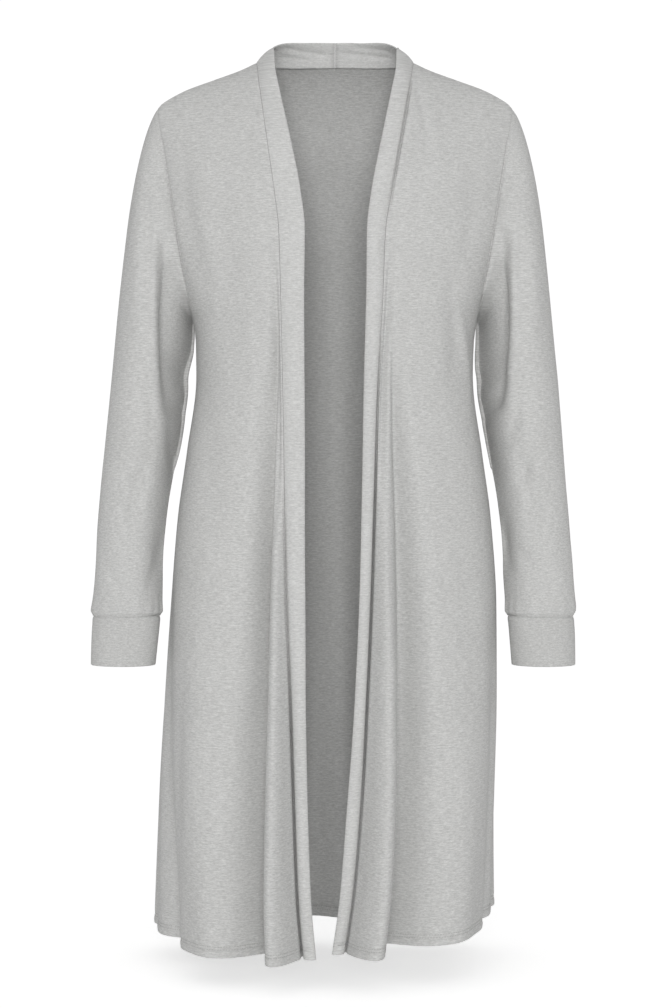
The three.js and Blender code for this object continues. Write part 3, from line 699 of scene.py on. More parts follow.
def stroke(x, z, start, end):
    """Share of the way along a straight stroke, and distances across it and beyond its ends."""
    dx, dz = end[0] - start[0], end[1] - start[1]
    reach = math.hypot(dx, dz)
    along = ((x - start[0]) * dx + (z - start[1]) * dz) / reach**2
    inside = clamp01(along)
    across = ((x - start[0]) * dz - (z - start[1]) * dx) / reach
    return inside, across, (along - inside) * reach


def crease_push(creases, x, z):
    """Sum of soft troughs and ridges drawn as bent strokes in the front view."""
    push = np.zeros(np.broadcast(x, z).shape)
    for crease in creases:
        inside, across, beyond = stroke(x, z, crease["start"], crease["end"])
        across = across - crease["bow"] * 4 * inside * (1 - inside)
        swell = np.sin(np.pi * mix(*STROKE_SWELL, inside)) ** STROKE_POWER
        push += crease["depth"] * swell * bell(np.hypot(across, beyond) / crease["width"])
    return push


def slack(x, z, seed):
    """Faint unevenness of hanging cloth, longer down the cloth than across it."""
    upright, slanted, level = SLACK_UPRIGHT, SLACK_SLANTED, SLACK_LEVEL
    sway = upright["sway"] * np.sin(z / upright["sway_length"] + seed)
    a = np.sin(x / upright["length"] + sway + seed)
    b = np.sin(x / slanted["across"] - z / slanted["down"] + slanted["turn"] * seed)
    sway = level["sway"] * np.sin(x / level["sway_length"] + seed)
    c = np.sin(z / level["length"] + sway + level["turn"] * seed)
    return upright["height"] * a + slanted["height"] * b + level["height"] * c


def groove(distance, kind="seam"):
    """Dip of the cloth along a seam or a stitch row."""
    depth, width = GROOVES[kind]
    return -depth * bell(distance / width)


def come_in(distance, reach):
    """Grows from 0 at a seam to 1 at the reach."""
    return ease(clamp01(distance / reach))


def slit_depth(side, z):
    """How deep the seam of the band sinks between its front and the band, in mm."""
    depth = 0 * z
    for slit in SEAM_SLITS[side]:
        started = ease(clamp01((slit["top"] - z) / (slit["top"] - slit["full"])))
        faded = ease(clamp01((slit["fade"] - z) / (slit["fade"] - slit["end"])))
        depth = depth + slit["depth"] * started * (1 - faded)
    return depth


def slit_profile(distance):
    return 1 / (1 + (distance / SLIT_HALF_WIDTH) ** SLIT_STEEPNESS)


def edge_shares(shares, width, at_start, at_end):
    """Adds finer steps next to the seams at the two ends of a row."""
    extra = [step / width for step in SEAM_STEPS]
    near = extra[-1] * SEAM_STEPS_CLEAR
    if at_start:
        shares = [0] + [s for s in shares if s > near] + extra
    if at_end:
        shares = [s for s in shares if s < 1 - near] + [1 - s for s in extra] + [1]
    return np.array(sorted(shares))


def skirt_steps():
    """Shares of the way from the underarm to the hem, in 1 mm steps through the hem fold."""
    fine = np.arange(HEM_FINE_ROWS, -1, -1) / (UNDERARM_LEVEL - HEM_LEVEL)
    return np.concatenate([np.linspace(0, 1 - fine[0], SKIRT_ROWS)[1:], 1 - fine[1:]])


def hem_groove(above):
    """The two stitch rows press the cloth in a little above the hem."""
    settings = bpy.context.scene.cardigan_stitch
    upper = settings.hem_depth / MM
    lower = upper - settings.row_gap / MM
    dip = groove(above - upper, "hem_row") + groove(above - lower, "hem_row")
    return dip + HEM_SWELLING * bell((above - lower / 2) / (lower / 2))


def front_grid(side):
    """One front: rows run from the armhole or the side seam to the band seam."""
    sign, seam = SIDES[side]["sign"], SIDES[side]["seam"]
    coarse = np.linspace(0, 1 - FRONT_FOLD_SHARE, FRONT_SIDE_COLUMNS, endpoint=False)
    fine = np.linspace(1 - FRONT_FOLD_SHARE, 1, FRONT_FOLD_COLUMNS + 1)
    shares = edge_shares(np.concatenate([coarse, fine]), FRONT_CLOTH_WIDTH, True, True)[None, :]
    top_half = HALF_WIDTH[sign](SHOULDER_LEVEL)
    top_start = math.acos(SHOULDER_HALF_WIDTH / top_half)
    top_end = math.acos(NECK_HALF_WIDTH / top_half)
    crest = crest_height(top_half * np.cos(mix(top_start, top_end, shares)))

    t = cosine_step(np.arange(ARMHOLE_ROWS + 1) / ARMHOLE_ROWS)[:, None]
    outer_z = mix(SHOULDER_LEVEL, UNDERARM_LEVEL, t)
    upper = {
        "half": HALF_WIDTH[sign](outer_z),
        "outer": armhole_half_width(outer_z),
        "inner": seam(mix(NECK_LEVEL, UNDERARM_LEVEL, t)),
        "z": mix(crest, UNDERARM_LEVEL, t),
        "hem": np.full_like(t, FAR_FROM_HEM),
    }
    s = skirt_steps()[:, None]
    raise_side, raise_edge = (HEM_RAISE_LEFT_SIDE, HEM_RAISE_LEFT_EDGE) if sign > 0 else (0, 0)
    level = mix(UNDERARM_LEVEL, HEM_LEVEL, s)
    half = HALF_WIDTH[sign](level + s * raise_side)
    lower = {
        "half": half,
        "outer": half,
        "inner": seam(level),
        "z": level + s * mix(raise_side, raise_edge, shares),
        "hem": (1 - s) * (UNDERARM_LEVEL - HEM_LEVEL),
    }
    half, outer, inner, z, hem = (
        np.concatenate([upper[key] + 0 * t, lower[key] + 0 * s])
        for key in ("half", "outer", "inner", "z", "hem")
    )
    start = np.arccos(clamp01(outer / half))
    end = np.arccos(clamp01(inner / half))
    angle = mix(start, end, shares)
    x = sign * half * np.cos(angle)
    radius = (half + CHEST_DEPTH(z)) / 2
    from_seam = (end - angle) * radius
    from_side = angle * radius
    from_edge = (angle - start) * radius
    push = np.zeros_like(z)
    for fold in FRONT_FOLDS[side]:
        away = mix(fold["away"][0], fold["away"][1], fold_growth(fold, z))
        push += fold_push(fold, from_seam - away, z)
    push *= come_in(from_side, FOLD_FREE_SIDE)
    scale = bpy.context.scene.cardigan_cloth.crease_depth
    creases = crease_push(FRONT_CREASES[side], x, z) + slack(x, z, SLACK_SEED["front"] + sign)
    open_way = come_in(from_seam, CREASE_FREE["band"]) * come_in(from_edge, CREASE_FREE["armhole"])
    push += scale * creases * open_way
    push += groove(from_seam, "band_seam") + groove(from_edge) * (z < ARMHOLE_GROOVE_TOP)
    push += hem_groove(hem)
    push *= clamp01((crest_height(x) - z) / SHOULDER_FREE)
    points = body_points(-1, x, z, push)
    points[..., 1] += slit_depth(side, z) * slit_profile(from_seam)
    points[0, :, 1] -= SEAM_GAP / 2
    points[ARMHOLE_ROWS:, 0, 1] -= SEAM_GAP / 2
    return points


def back_grid():
    """The back: rows run from the wearer's right to the left."""
    top_half = HALF_WIDTH[1](SHOULDER_LEVEL)
    shoulder_angle = math.acos(SHOULDER_HALF_WIDTH / top_half)
    neck_angle = math.acos(NECK_HALF_WIDTH / top_half)
    shoulder_columns = (BACK_COLUMNS - BACK_NECK_COLUMNS) // 2
    slope = mix(shoulder_angle, neck_angle, np.arange(shoulder_columns) / shoulder_columns)
    neck_x = NECK_HALF_WIDTH * np.cos(np.pi * np.arange(BACK_NECK_COLUMNS + 1) / BACK_NECK_COLUMNS)
    top = np.concatenate([slope, np.arccos(neck_x / top_half), np.pi - slope[::-1]])[None, :]
    top_x = top_half * np.cos(top)
    inside_neck = np.arange(BACK_COLUMNS + 1)
    inside_neck = (inside_neck > shoulder_columns) & (inside_neck < BACK_COLUMNS - shoulder_columns)
    neck_z = NECK_LEVEL + NECK_CENTRE_RAISE * np.cos(np.pi * top_x / (2 * NECK_HALF_WIDTH)) ** 2
    top_z = np.where(inside_neck, neck_z, crest_height(top_x))
    column_share = (np.arange(BACK_COLUMNS + 1) / BACK_COLUMNS)[None, :]

    t = cosine_step(np.arange(ARMHOLE_ROWS + 1) / ARMHOLE_ROWS)[:, None]
    outer_z = mix(SHOULDER_LEVEL, UNDERARM_LEVEL, t)
    half = HALF_WIDTH[1](outer_z)
    start = np.arccos(clamp01(armhole_half_width(outer_z) / half))
    even = mix(start, np.pi - start, column_share)
    stretched = mix(start, np.pi - start, (top - shoulder_angle) / (np.pi - 2 * shoulder_angle))
    upper_angle = mix(stretched, even, t)
    upper_x = -half * np.cos(upper_angle)
    upper_z = mix(top_z, UNDERARM_LEVEL, t)

    s = skirt_steps()[:, None]
    lower_angle = np.pi * column_share + 0 * s
    turn = -np.cos(lower_angle)
    raised = s * HEM_RAISE_LEFT_SIDE * np.maximum(0, turn) ** 2
    lower_z = mix(UNDERARM_LEVEL, HEM_LEVEL, s) + raised
    lower_x = half_width(turn, lower_z) * turn
    angle = np.concatenate([upper_angle, lower_angle])
    x = np.concatenate([upper_x, lower_x])
    z = np.concatenate([upper_z, lower_z])
    above_hem = (1 - s) * (UNDERARM_LEVEL - HEM_LEVEL)
    hem = np.concatenate([np.full_like(upper_z, FAR_FROM_HEM), above_hem + 0 * lower_z])
    start = np.concatenate([start, 0 * s])
    radius = (half_width(x, z) + BACK_DEPTH(z)) / 2
    from_side = np.minimum(angle, np.pi - angle) * radius
    from_edge = (np.minimum(angle, np.pi - angle) - start) * radius
    push = np.zeros_like(z)
    for fold in BACK_FOLDS:
        across = mix(fold["across"][0], fold["across"][1], fold_growth(fold, z))
        push += fold_push(fold, x - across, z)
    push *= come_in(from_side, FOLD_FREE_SIDE)
    scale = bpy.context.scene.cardigan_cloth.crease_depth
    creases = crease_push(BACK_CREASES, x, z) + slack(x, z, SLACK_SEED["back"])
    push += scale * creases * come_in(from_edge, CREASE_FREE["armhole"])
    push += groove(from_edge) * (z < ARMHOLE_GROOVE_TOP)
    push += hem_groove(hem)
    top_level = np.where(np.abs(x) < NECK_HALF_WIDTH, NECK_LEVEL + NECK_CENTRE_RAISE, crest_height(x))
    push *= clamp01((top_level - z) / SHOULDER_FREE)
    points = body_points(1, x, z, push)
    on_shoulder = np.abs(points[0, :, 0]) > NECK_HALF_WIDTH - SEAM_GAP
    points[0, on_shoulder, 1] += SEAM_GAP / 2
    points[ARMHOLE_ROWS:, 0, 1] += SEAM_GAP / 2
    points[ARMHOLE_ROWS:, -1, 1] += SEAM_GAP / 2
    return points


def grid_normals(grid, closed, outside):
    if closed:
        along = np.roll(grid, -1, axis=1) - np.roll(grid, 1, axis=1)
    else:
        padded = np.concatenate([grid[:, :1], grid, grid[:, -1:]], axis=1)
        along = padded[:, 2:] - padded[:, :-2]
    padded = np.concatenate([grid[:1], grid, grid[-1:]])
    down = padded[2:] - padded[:-2]
    return unit(np.cross(along, down) * outside)


def flatten(normals, axis):
    normals[..., axis] = 0
    normals[...] = unit(normals)


def cloth_lengths(grid, closed, anchor):
    """Place of each grid point on the cloth: the level way round it and its height, in mm."""
    row = np.concatenate([grid, grid[:, :1]], axis=1) if closed else grid
    steps = np.linalg.norm(np.diff(row[..., :2], axis=1), axis=-1)
    if closed:
        x, y, z = np.moveaxis(row, -1, 0)
        axis_x, axis_y = (drop_curve(SLEEVE_AXIS, key)(z) for key in ("x", "y"))
        turn = np.unwrap(np.arctan2(axis_y - y, np.abs(x) - axis_x), axis=1)
        outer = turn[:, turn.shape[1] // 2][:, None]
        across = SLEEVE_RADIUS * (turn - 2 * np.pi * np.round(outer / (2 * np.pi)))
    else:
        across = np.concatenate([np.zeros((len(row), 1)), np.cumsum(steps, axis=1)], axis=1)
    if anchor is None:
        along = np.linalg.norm(np.diff(row[:, :1, :2], axis=0), axis=-1)
        across = across + np.concatenate([np.zeros((1, 1)), np.cumsum(along, axis=0)])
    elif not closed:
        across = across - across[:, anchor][:, None]
    return np.stack([across, row[..., 2]], axis=-1)


def wall_mesh(name, grid, normals, thickness, closed, outside, round_edges=(), anchor=0):
    """Closed wall of cloth: outer face, inner face and a rim, rounded on the named edges."""
    rows, columns = grid.shape[:2]
    if closed:
        grid, normals = (np.roll(array, columns // 2, axis=1) for array in (grid, normals))
    wide = columns + 1 if closed else columns
    places = [grid.reshape(-1, 3), (grid - normals * thickness).reshape(-1, 3)]
    inner = rows * columns
    faces, uv_faces = [], []

    def add(quads, uv_quads):
        faces.append(quads if outside > 0 else quads[:, ::-1])
        uv_faces.append(uv_quads if outside > 0 else uv_quads[:, ::-1])

    r, c = np.meshgrid(np.arange(rows - 1), np.arange(wide - 1), indexing="ij")
    corners = [(r, c), (r, c + 1), (r + 1, c + 1), (r + 1, c)]
    quads = np.stack([(a * columns + b % columns).ravel() for a, b in corners], axis=1)
    uv_quads = np.stack([(a * wide + b).ravel() for a, b in corners], axis=1)
    add(quads, uv_quads)
    add(quads[:, ::-1] + inner, uv_quads[:, ::-1])

    count = 2 * inner
    edges = {"top": (0, 1, True), "bottom": (rows - 1, rows - 2, False)}
    if not closed:
        edges["left"] = (0, 1, False)
        edges["right"] = (columns - 1, columns - 2, True)
    for edge, (line, neighbour, leads) in edges.items():
        if edge in ("top", "bottom"):
            cells = np.arange(wide)
            ring = line * columns + cells % columns
            uv_ring = line * wide + cells
            off = unit(grid[line] - grid[neighbour])
            size = columns
        else:
            cells = np.arange(rows)
            ring = cells * columns + line
            uv_ring = cells * wide + line
            off = unit(grid[:, line] - grid[:, neighbour])
            size = rows
        chain = [ring]
        if edge in round_edges:
            flat = ring[:size]
            for share, out in ROUND_EDGE:
                middle = mix(places[0][flat], places[1][flat], share) + off * thickness * out
                places.append(middle)
                index = count + np.arange(size)
                chain.append(index[cells % size])
                count += size
        chain.append(ring + inner)
        for a, b in zip(chain[:-1], chain[1:]):
            strip = [a[:-1], b[:-1], b[1:], a[1:]] if leads else [a[:-1], a[1:], b[1:], b[:-1]]
            u, v = uv_ring[:-1], uv_ring[1:]
            uv_strip = [u, u, v, v] if leads else [u, v, v, u]
            add(np.stack(strip, axis=1), np.stack(uv_strip, axis=1))
        if len(chain) > 2 and not (closed and edge in ("top", "bottom")):
            for end, forward in ((0, not leads), (-1, leads)):
                loop = [link[end] for link in chain]
                tip = uv_ring[end]
                order = loop if forward else loop[::-1]
                pair = np.array([[order[0], order[1], order[3], order[4]]])
                add(pair, np.full((1, 4), tip))
                cap = np.array([[order[1], order[2], order[3]]])
                add(cap, np.full((1, 3), tip))

    mesh = bpy.data.meshes.new(name)
    vertices = np.concatenate(places) * MM
    lists = [face.tolist() for face in faces]
    mesh.from_pydata(vertices.tolist(), [], [f for group in lists for f in group])
    uv_values = cloth_lengths(grid, closed, anchor).reshape(-1, 2) * MM
    uv_index = np.concatenate([group.ravel() for group in uv_faces])
    layer = mesh.uv_layers.new(name="cloth")
    layer.data.foreach_set("uv", uv_values[uv_index].astype(np.float32).ravel())
    mesh.polygons.foreach_set("use_smooth", np.ones(len(mesh.polygons), bool))
    mesh.update()
    return mesh


def seam_frames(line, inside, normals):
    """Points, normals and the direction off the cloth along one edge of a grid."""
    padded = np.concatenate([line[:1], line, line[-1:]])
    along = unit(padded[2:] - padded[:-2])
    off = unit(np.cross(along, normals))
    flip = np.sum(off * (inside - line), axis=-1, keepdims=True) > 0
    return {"point": line.copy(), "normal": normals.copy(), "off": np.where(flip, -off, off)}


def average_frame(a, i, b, j):
    return {
        "point": (a["point"][i] + b["point"][j]) / 2,
        "normal": unit(a["normal"][i] + b["normal"][j]),
        "off": unit(a["off"][i] + b["off"][j]),
    }


def join_frames(*parts):
    return {key: np.concatenate([part[key] for part in parts]) for key in ("point", "normal", "off")}


def body_panels():
    """The three body panels, with normals that agree along the seams they share."""
    panels = {
        "front_right": {"grid": front_grid("right"), "outside": -1},
        "front_left": {"grid": front_grid("left"), "outside": 1},
        "back": {"grid": back_grid(), "outside": 1},
    }
    for name, panel in panels.items():
        normals = grid_normals(panel["grid"], False, panel["outside"])
        for column in (0, -1) if name == "back" else (0,):
            flatten(normals[ARMHOLE_ROWS:, column], 1)
        on_shoulder = np.abs(panel["grid"][0, :, 0]) > NECK_HALF_WIDTH - SEAM_GAP
        top = normals[0]
        top[on_shoulder, 1] = 0
        normals[0] = unit(top)
        panel["normals"] = normals
    return panels


def wrinkle_push(place, share):
    push = np.zeros(np.broadcast(place, share).shape)
    for wrinkle in NECK_WRINKLES:
        start, end = ((wrinkle[key][0], wrinkle[key][1] * BAND_WIDTH) for key in ("from", "to"))
        _, across, beyond = stroke(place, share * BAND_WIDTH, start, end)
        push += wrinkle["depth"] * bell(np.hypot(across, beyond) / wrinkle["width"])
    return push


def band_grid(side, panels):
    """Band of one side, from the hem up the front and round to the centre back."""
    sign, seam, edge = (SIDES[side][key] for key in ("sign", "seam", "edge"))
    front = panels["front_" + side]
    back = panels["back"]
    line = front["grid"][::-1, -1]
    frames_front = seam_frames(line, front["grid"][::-1, -2], front["normals"][::-1, -1])
    centre = BACK_COLUMNS // 2
    columns = centre + sign * (BACK_NECK_COLUMNS // 2 - np.arange(BACK_NECK_COLUMNS // 2 + 1))
    neck_line, below_neck = back["grid"][0, columns], back["grid"][1, columns]
    frames_neck = seam_frames(neck_line, below_neck, back["normals"][0, columns])
    corner = average_frame(frames_front, -1, frames_neck, 0)
    corner = {key: value[None] for key, value in corner.items()}
    frames = join_frames(
        {key: value[:-1] for key, value in frames_front.items()},
        corner,
        {key: value[1:] for key, value in frames_neck.items()},
    )
    last_front = len(line) - 1
    start = frames["point"] + frames["off"] * SEAM_GAP
    sunk = np.zeros(len(start))
    sunk[: last_front + 1] = slit_depth(side, frames["point"][: last_front + 1, 2])
    start[:, 1] -= sunk
    end = start.copy()
    climbed = frames["point"][:, 2] - FRONT_RISE_STARTS
    all_rise = come_in(climbed, NECK_LEVEL - FRONT_RISE_STARTS)
    z, rise = frames["point"][: last_front + 1, 2], all_rise[: last_front + 1]
    end[: last_front + 1, 0] -= sign * (seam(z) - edge(z))
    end[: last_front + 1, 1] += BAND_FORWARD * (1 - rise)
    end[: last_front + 1, 2] += NECK_RISE["shoulder"] * rise
    neck = slice(last_front + 1, None)
    t = np.arange(1, len(columns)) / (len(columns) - 1)
    inward = -frames["normal"][neck].copy()
    flatten(inward, 2)
    end[neck] += inward * mix(NECK_INSET["shoulder"], NECK_INSET["centre_back"], cosine_step(t))[:, None]
    climb = ease(clamp01(NECK_RISE["pace"] * t))
    end[neck, 2] += mix(NECK_RISE["shoulder"], NECK_RISE["centre_back"], climb)

    chord = end - start
    padded = np.concatenate([frames["point"][:1], frames["point"], frames["point"][-1:]])
    outward = unit(np.cross(padded[2:] - padded[:-2], chord))
    facing = frames["normal"].copy()
    facing[: last_front + 1] = (0, -1, 0)
    flip = np.sum(outward * facing, axis=-1, keepdims=True) < 0
    outward = np.where(flip, -outward, outward)
    length = np.linalg.norm(chord, axis=-1)
    crown = np.sqrt(np.maximum(0, 3 * length * (BAND_WIDTH - length) / 8))
    crown *= mix(BAND_CROWN_SHARE["front"], BAND_CROWN_SHARE["neck"], all_rise)
    share = edge_shares(np.linspace(0, 1, BAND_COLUMNS + 1), BAND_WIDTH, True, False)[None, :]
    lift = 4 * crown[:, None] * share * (1 - share)
    lift += groove(share * BAND_WIDTH, "band_edge") * come_in(share, BAND_GROOVE_FREE_SHARE)
    steps = np.linalg.norm(np.diff(frames["point"], axis=0), axis=-1)
    path = np.concatenate([[0], np.cumsum(steps)])
    from_centre = sign * (path[-1] - path)[:, None]
    lift += wrinkle_push(from_centre, share) * (np.abs(from_centre) < NECK_WRINKLE_REACH)
    ripple = sum(high * np.sin(path / wave + turn * sign) for wave, high, turn in BAND_RIPPLES)
    lift += ripple[:, None] * ease(share) * come_in(np.abs(from_centre), BAND_RIPPLE_FREE)
    grid = start[:, None] + chord[:, None] * share[..., None] + outward[:, None] * lift[..., None]
    grid[..., 1] += sunk[:, None] * slit_profile(share * length[:, None])
    grid[-1, :, 0] = sign * SEAM_GAP / 2
    return grid, frames


def armhole_frames(sign, panels):
    """The armhole as a closed loop: down the front and up the back."""
    front = panels["front_right" if sign < 0 else "front_left"]
    back = panels["back"]
    column, neighbour = (0, 1) if sign < 0 else (-1, -2)
    rows = slice(0, ARMHOLE_ROWS + 1)
    down = seam_frames(front["grid"][rows, 0], front["grid"][rows, 1], front["normals"][rows, 0])
    edge, inside = back["grid"][rows, column], back["grid"][rows, neighbour]
    up = seam_frames(edge, inside, back["normals"][rows, column])
    for i in (0, -1):
        both = average_frame(down, i, up, i)
        for key, value in both.items():
            down[key][i] = value
    down["off"][-1] = (0, 0, 1)
    return join_frames(down, {key: value[-2:0:-1] for key, value in up.items()})


def ring_points(sign, ring, turns):
    towards = (1 + np.cos(turns)) / 2
    x = mix(ring["inner"], ring["outer"], towards)
    z = -mix(ring["inner_drop"], ring["outer_drop"], towards)
    if sign > 0:
        x = x - mix(LEAN_OF_INNER(z), LEAN_OF_OUTER(z), towards)
    x = sign * x
    return np.stack([x, ring["middle"] - ring["depth"] * np.sin(turns), z + 0 * x], axis=-1)


def sleeve_swell(folds, turns, z, power):
    """Sum of folds that run along the sleeve and fade out at both ends."""
    degrees = np.degrees(turns) + 0 * z
    swell = np.zeros_like(z)
    for fold in folds:
        t = clamp01((fold["top"] - z) / (fold["top"] - fold["end"]))
        place = mix(fold["place"][0], fold["place"][1], t)
        swell += fold["depth"] * np.sin(np.pi * t) ** power * bell((degrees - place) / fold["width"])
    return swell


def sleeve_grid(side, loop):
    """Sleeve: the first ring lies along the armhole, the last one on the cuff."""
    sign = SIDES[side]["sign"]
    count = len(loop["point"])
    turns = (2 * np.pi * np.arange(count) / count)[None, :]
    last = len(SLEEVE_RINGS) - 1
    steps = np.concatenate([
        np.linspace(0, 1, SLEEVE_ARMHOLE_STEPS),
        np.linspace(1, last - 2, SLEEVE_STEPS_PER_RING * (last - 3) + 1)[1:],
        np.linspace(last - 2, last, SLEEVE_CUFF_STEPS)[1:],
    ])[:, None]
    curves = {key: ring_curve(SLEEVE_RINGS, key) for key in SLEEVE_RINGS[0]}
    ring = {key: curve(steps) for key, curve in curves.items()}
    first = loop["point"] + loop["off"] * SEAM_GAP
    misfit = first - ring_points(sign, {key: value[:1] for key, value in ring.items()}, turns)[0]
    grid = ring_points(sign, ring, turns)
    grid += misfit[None] * (1 - come_in(steps, SLEEVE_FIT_RINGS))[..., None]
    x, z = grid[..., 0], grid[..., 2]
    grown = come_in(steps - 1, SLEEVE_FOLD_RINGS)
    push = sleeve_swell(SLEEVE_FOLDS, turns, z, SLEEVE_FOLD_POWER) * grown
    back_by = sleeve_swell(SLEEVE_HOLLOWS, turns, z, 1) * grown
    scale = bpy.context.scene.cardigan_cloth.crease_depth
    on_front = come_in(np.sin(turns) + SLEEVE_HALF_BLEND, 2 * SLEEVE_HALF_BLEND)
    front, back = (crease_push(SLEEVE_CREASES[side][half], x, z) for half in ("front", "back"))
    pace = SLEEVE_SLACK_PACE
    uneven = slack(x * pace["across"], z * pace["down"], SLACK_SEED["sleeve"] * sign)
    handed = front * on_front + back * (1 - on_front) + uneven
    from_armhole = np.linalg.norm(grid - grid[:1], axis=-1)
    from_cuff = z + SLEEVE_RINGS[-1]["outer_drop"]
    near_ends = come_in(from_armhole, CREASE_FREE["sleeve_head"])
    push += scale * handed * near_ends * come_in(from_cuff, CREASE_FREE["cuff"])
    sway = GATHERS["sway"] * np.sin(turns * GATHERS["sway_count"])
    gathers = GATHERS["height"] * np.sin(turns * GATHERS["count"] + sway)
    gathers = gathers * bell((from_cuff - GATHERS_PLACE["above_cuff"]) / GATHERS_PLACE["reach"])
    push += gathers * come_in(from_cuff, GATHERS_PLACE["free"])
    push += groove(from_armhole) * come_in(from_armhole, SEAM_START)
    grid[..., 0] += push * sign * np.cos(turns)
    grid[..., 1] += back_by - push * np.sin(turns)
    grid[0] = first
    return grid


def cuff_grid(side):
    sign = SIDES[side]["sign"]
    turns = (2 * np.pi * np.arange(2 * ARMHOLE_ROWS) / (2 * ARMHOLE_ROWS))[None, :]
    top, bottom = CUFF_RINGS[0]["drop"], CUFF_RINGS[-1]["drop"]
    ends = np.array(CUFF_END_STEPS)
    tall = bottom - top
    inner = np.linspace(CUFF_END_REACH, tall - CUFF_END_REACH, CUFF_ROWS - 2 * len(ends))
    drops = top + np.concatenate([ends, inner, tall - ends[::-1]])
    z = -drops[:, None]
    ring = {key: drop_curve(CUFF_RINGS, key)(z) for key in ("outer", "inner", "depth", "middle")}
    ring["outer_drop"] = ring["inner_drop"] = -z
    grid = ring_points(sign, ring, turns)
    from_top = -z - top
    ripple = np.sin(CUFF_RIPPLE["count"] * turns + sign + from_top / CUFF_RIPPLE["lean"])
    push = CUFF_RIPPLE["height"] * ripple * come_in(from_top, CUFF_RIPPLE["free"])
    push = push + groove(from_top, "cuff_seam") * come_in(from_top, SEAM_START)
    grid[..., 0] += push * sign * np.cos(turns)
    grid[..., 1] -= push * np.sin(turns)
    return grid


def node_link(tree, kind, inputs=None, links=None, **settings):
    """Adds a shader node, sets its values and links its inputs."""
    node = tree.nodes.new(kind)
    for key, value in settings.items():
        setattr(node, key, value)
    for key, value in (inputs or {}).items():
        node.inputs[key].default_value = value
    for key, source in (links or {}).items():
        tree.links.new(source, node.inputs[key])
    return node


def jersey_material(name, tone, streaks, bump):
    """Heather jersey: melange fibres, slub streaks along the courses and fine wales."""
    material = bpy.data.materials.new(name)
    material.use_nodes = True
    tree = material.node_tree
    shader = tree.nodes["Principled BSDF"]
    for socket, value in JERSEY_SURFACE.items():
        shader.inputs[socket].default_value = value
    place = node_link(tree, "ShaderNodeUVMap", uv_map="cloth").outputs["UV"]

    def noise(look):
        mapped = node_link(
            tree, "ShaderNodeMapping", {"Scale": (look["across"], look["down"], 1)},
            {"Vector": place},
        ).outputs["Vector"]
        return node_link(
            tree, "ShaderNodeTexNoise",
            {"Scale": 1, "Detail": look["detail"], "Roughness": look["roughness"]},
            {"Vector": mapped}, noise_dimensions="2D",
        ).outputs["Fac"]

    def spread(look, swing):
        limits = {
            "From Min": look["low"], "From Max": look["high"],
            "To Min": 1 - swing, "To Max": 1 + swing,
        }
        return node_link(tree, "ShaderNodeMapRange", limits, {"Value": noise(look)}).outputs["Result"]

    def joined(a, b, operation="MULTIPLY"):
        return node_link(tree, "ShaderNodeMath", links={0: a, 1: b}, operation=operation).outputs[0]

    slubs, dashes, fibres = (spread(look, look["swing"] * streaks) for look in YARN_NOISES)
    clouds = spread(CLOUD_NOISE, CLOUD_SWING)
    grey = joined(joined(slubs, dashes), joined(fibres, clouds))
    grey = node_link(tree, "ShaderNodeCombineColor", links={"Red": grey, "Green": grey, "Blue": grey})
    tint = node_link(
        tree, "ShaderNodeMix", {0: 1.0, 6: (*tone, 1)}, {7: grey.outputs["Color"]},
        data_type="RGBA", blend_type="MULTIPLY",
    )
    tree.links.new(tint.outputs[2], shader.inputs["Base Color"])

    wales, courses = (
        node_link(
            tree, "ShaderNodeTexWave",
            {
                "Scale": wave["scale"], "Distortion": wave["distortion"],
                "Detail": 1, "Detail Scale": LOOP_WAVE_DETAIL_SCALE,
            },
            {"Vector": place}, wave_type="BANDS", bands_direction=wave["direction"],
        ).outputs["Fac"]
        for wave in LOOP_WAVES
    )
    relief = joined(joined(wales, courses), noise(YARN_RELIEF_NOISE), "ADD")
    height = node_link(
        tree, "ShaderNodeBump", {"Strength": bump, "Distance": LOOP_RELIEF}, {"Height": relief},
    )
    tree.links.new(height.outputs["Normal"], shader.inputs["Normal"])
    return material


def shaded_thread_material(tone):
    """Twisted polyester thread: matt with a faint shine and fine twist; its colour is darker than the
    cloth as painted shade of the stitch rows sunk in the hem.
    """
    material = bpy.data.materials.new("sewing_thread")
    material.use_nodes = True
    tree = material.node_tree
    shader = tree.nodes["Principled BSDF"]
    shader.inputs["Roughness"].default_value = THREAD_ROUGHNESS
    place = node_link(tree, "ShaderNodeTexCoord").outputs["Object"]
    noise = node_link(
        tree, "ShaderNodeTexNoise", {"Scale": THREAD_NOISE_SCALE, "Detail": 1}, {"Vector": place},
    )
    ramp = node_link(tree, "ShaderNodeValToRGB", links={"Fac": noise.outputs["Fac"]})
    for element, light in zip(ramp.color_ramp.elements, THREAD_TONES):
        element.color = (*[light * channel for channel in tone], 1)
    tree.links.new(ramp.outputs["Color"], shader.inputs["Base Color"])
    return material


def get_panels():
    """The panels are worked out once and shared by the operators."""
    if "panels" not in SHARED:
        SHARED["panels"] = body_panels()
    return SHARED["panels"]


def cloth_material(kind):
    if kind not in SHARED:
        tone = getattr(bpy.context.scene.cardigan_cloth, kind + "_colour")
        if kind == "thread":
            SHARED[kind] = shaded_thread_material(tone)
        else:
            look = JERSEYS[kind]
            SHARED[kind] = jersey_material(look["name"], tone, look["streaks"], look["bump"])
    return SHARED[kind]


def sew_piece(node, kind, grid, normals, closed, outside, round_edges=(), anchor=0):
    """Makes the wall of a cloth piece, hangs it on the frame and hides its imported solid."""
    wall = getattr(bpy.context.scene.cardigan_cloth, kind + "_wall") / MM
    name = node + "_cloth"
    mesh = wall_mesh(name, grid, normals, wall, closed, outside, round_edges, anchor)
    mesh.materials.append(cloth_material(kind))
    piece = bpy.data.objects.new(name, mesh)
    bpy.context.scene.collection.objects.link(piece)
    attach(piece, "root")
    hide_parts(node)


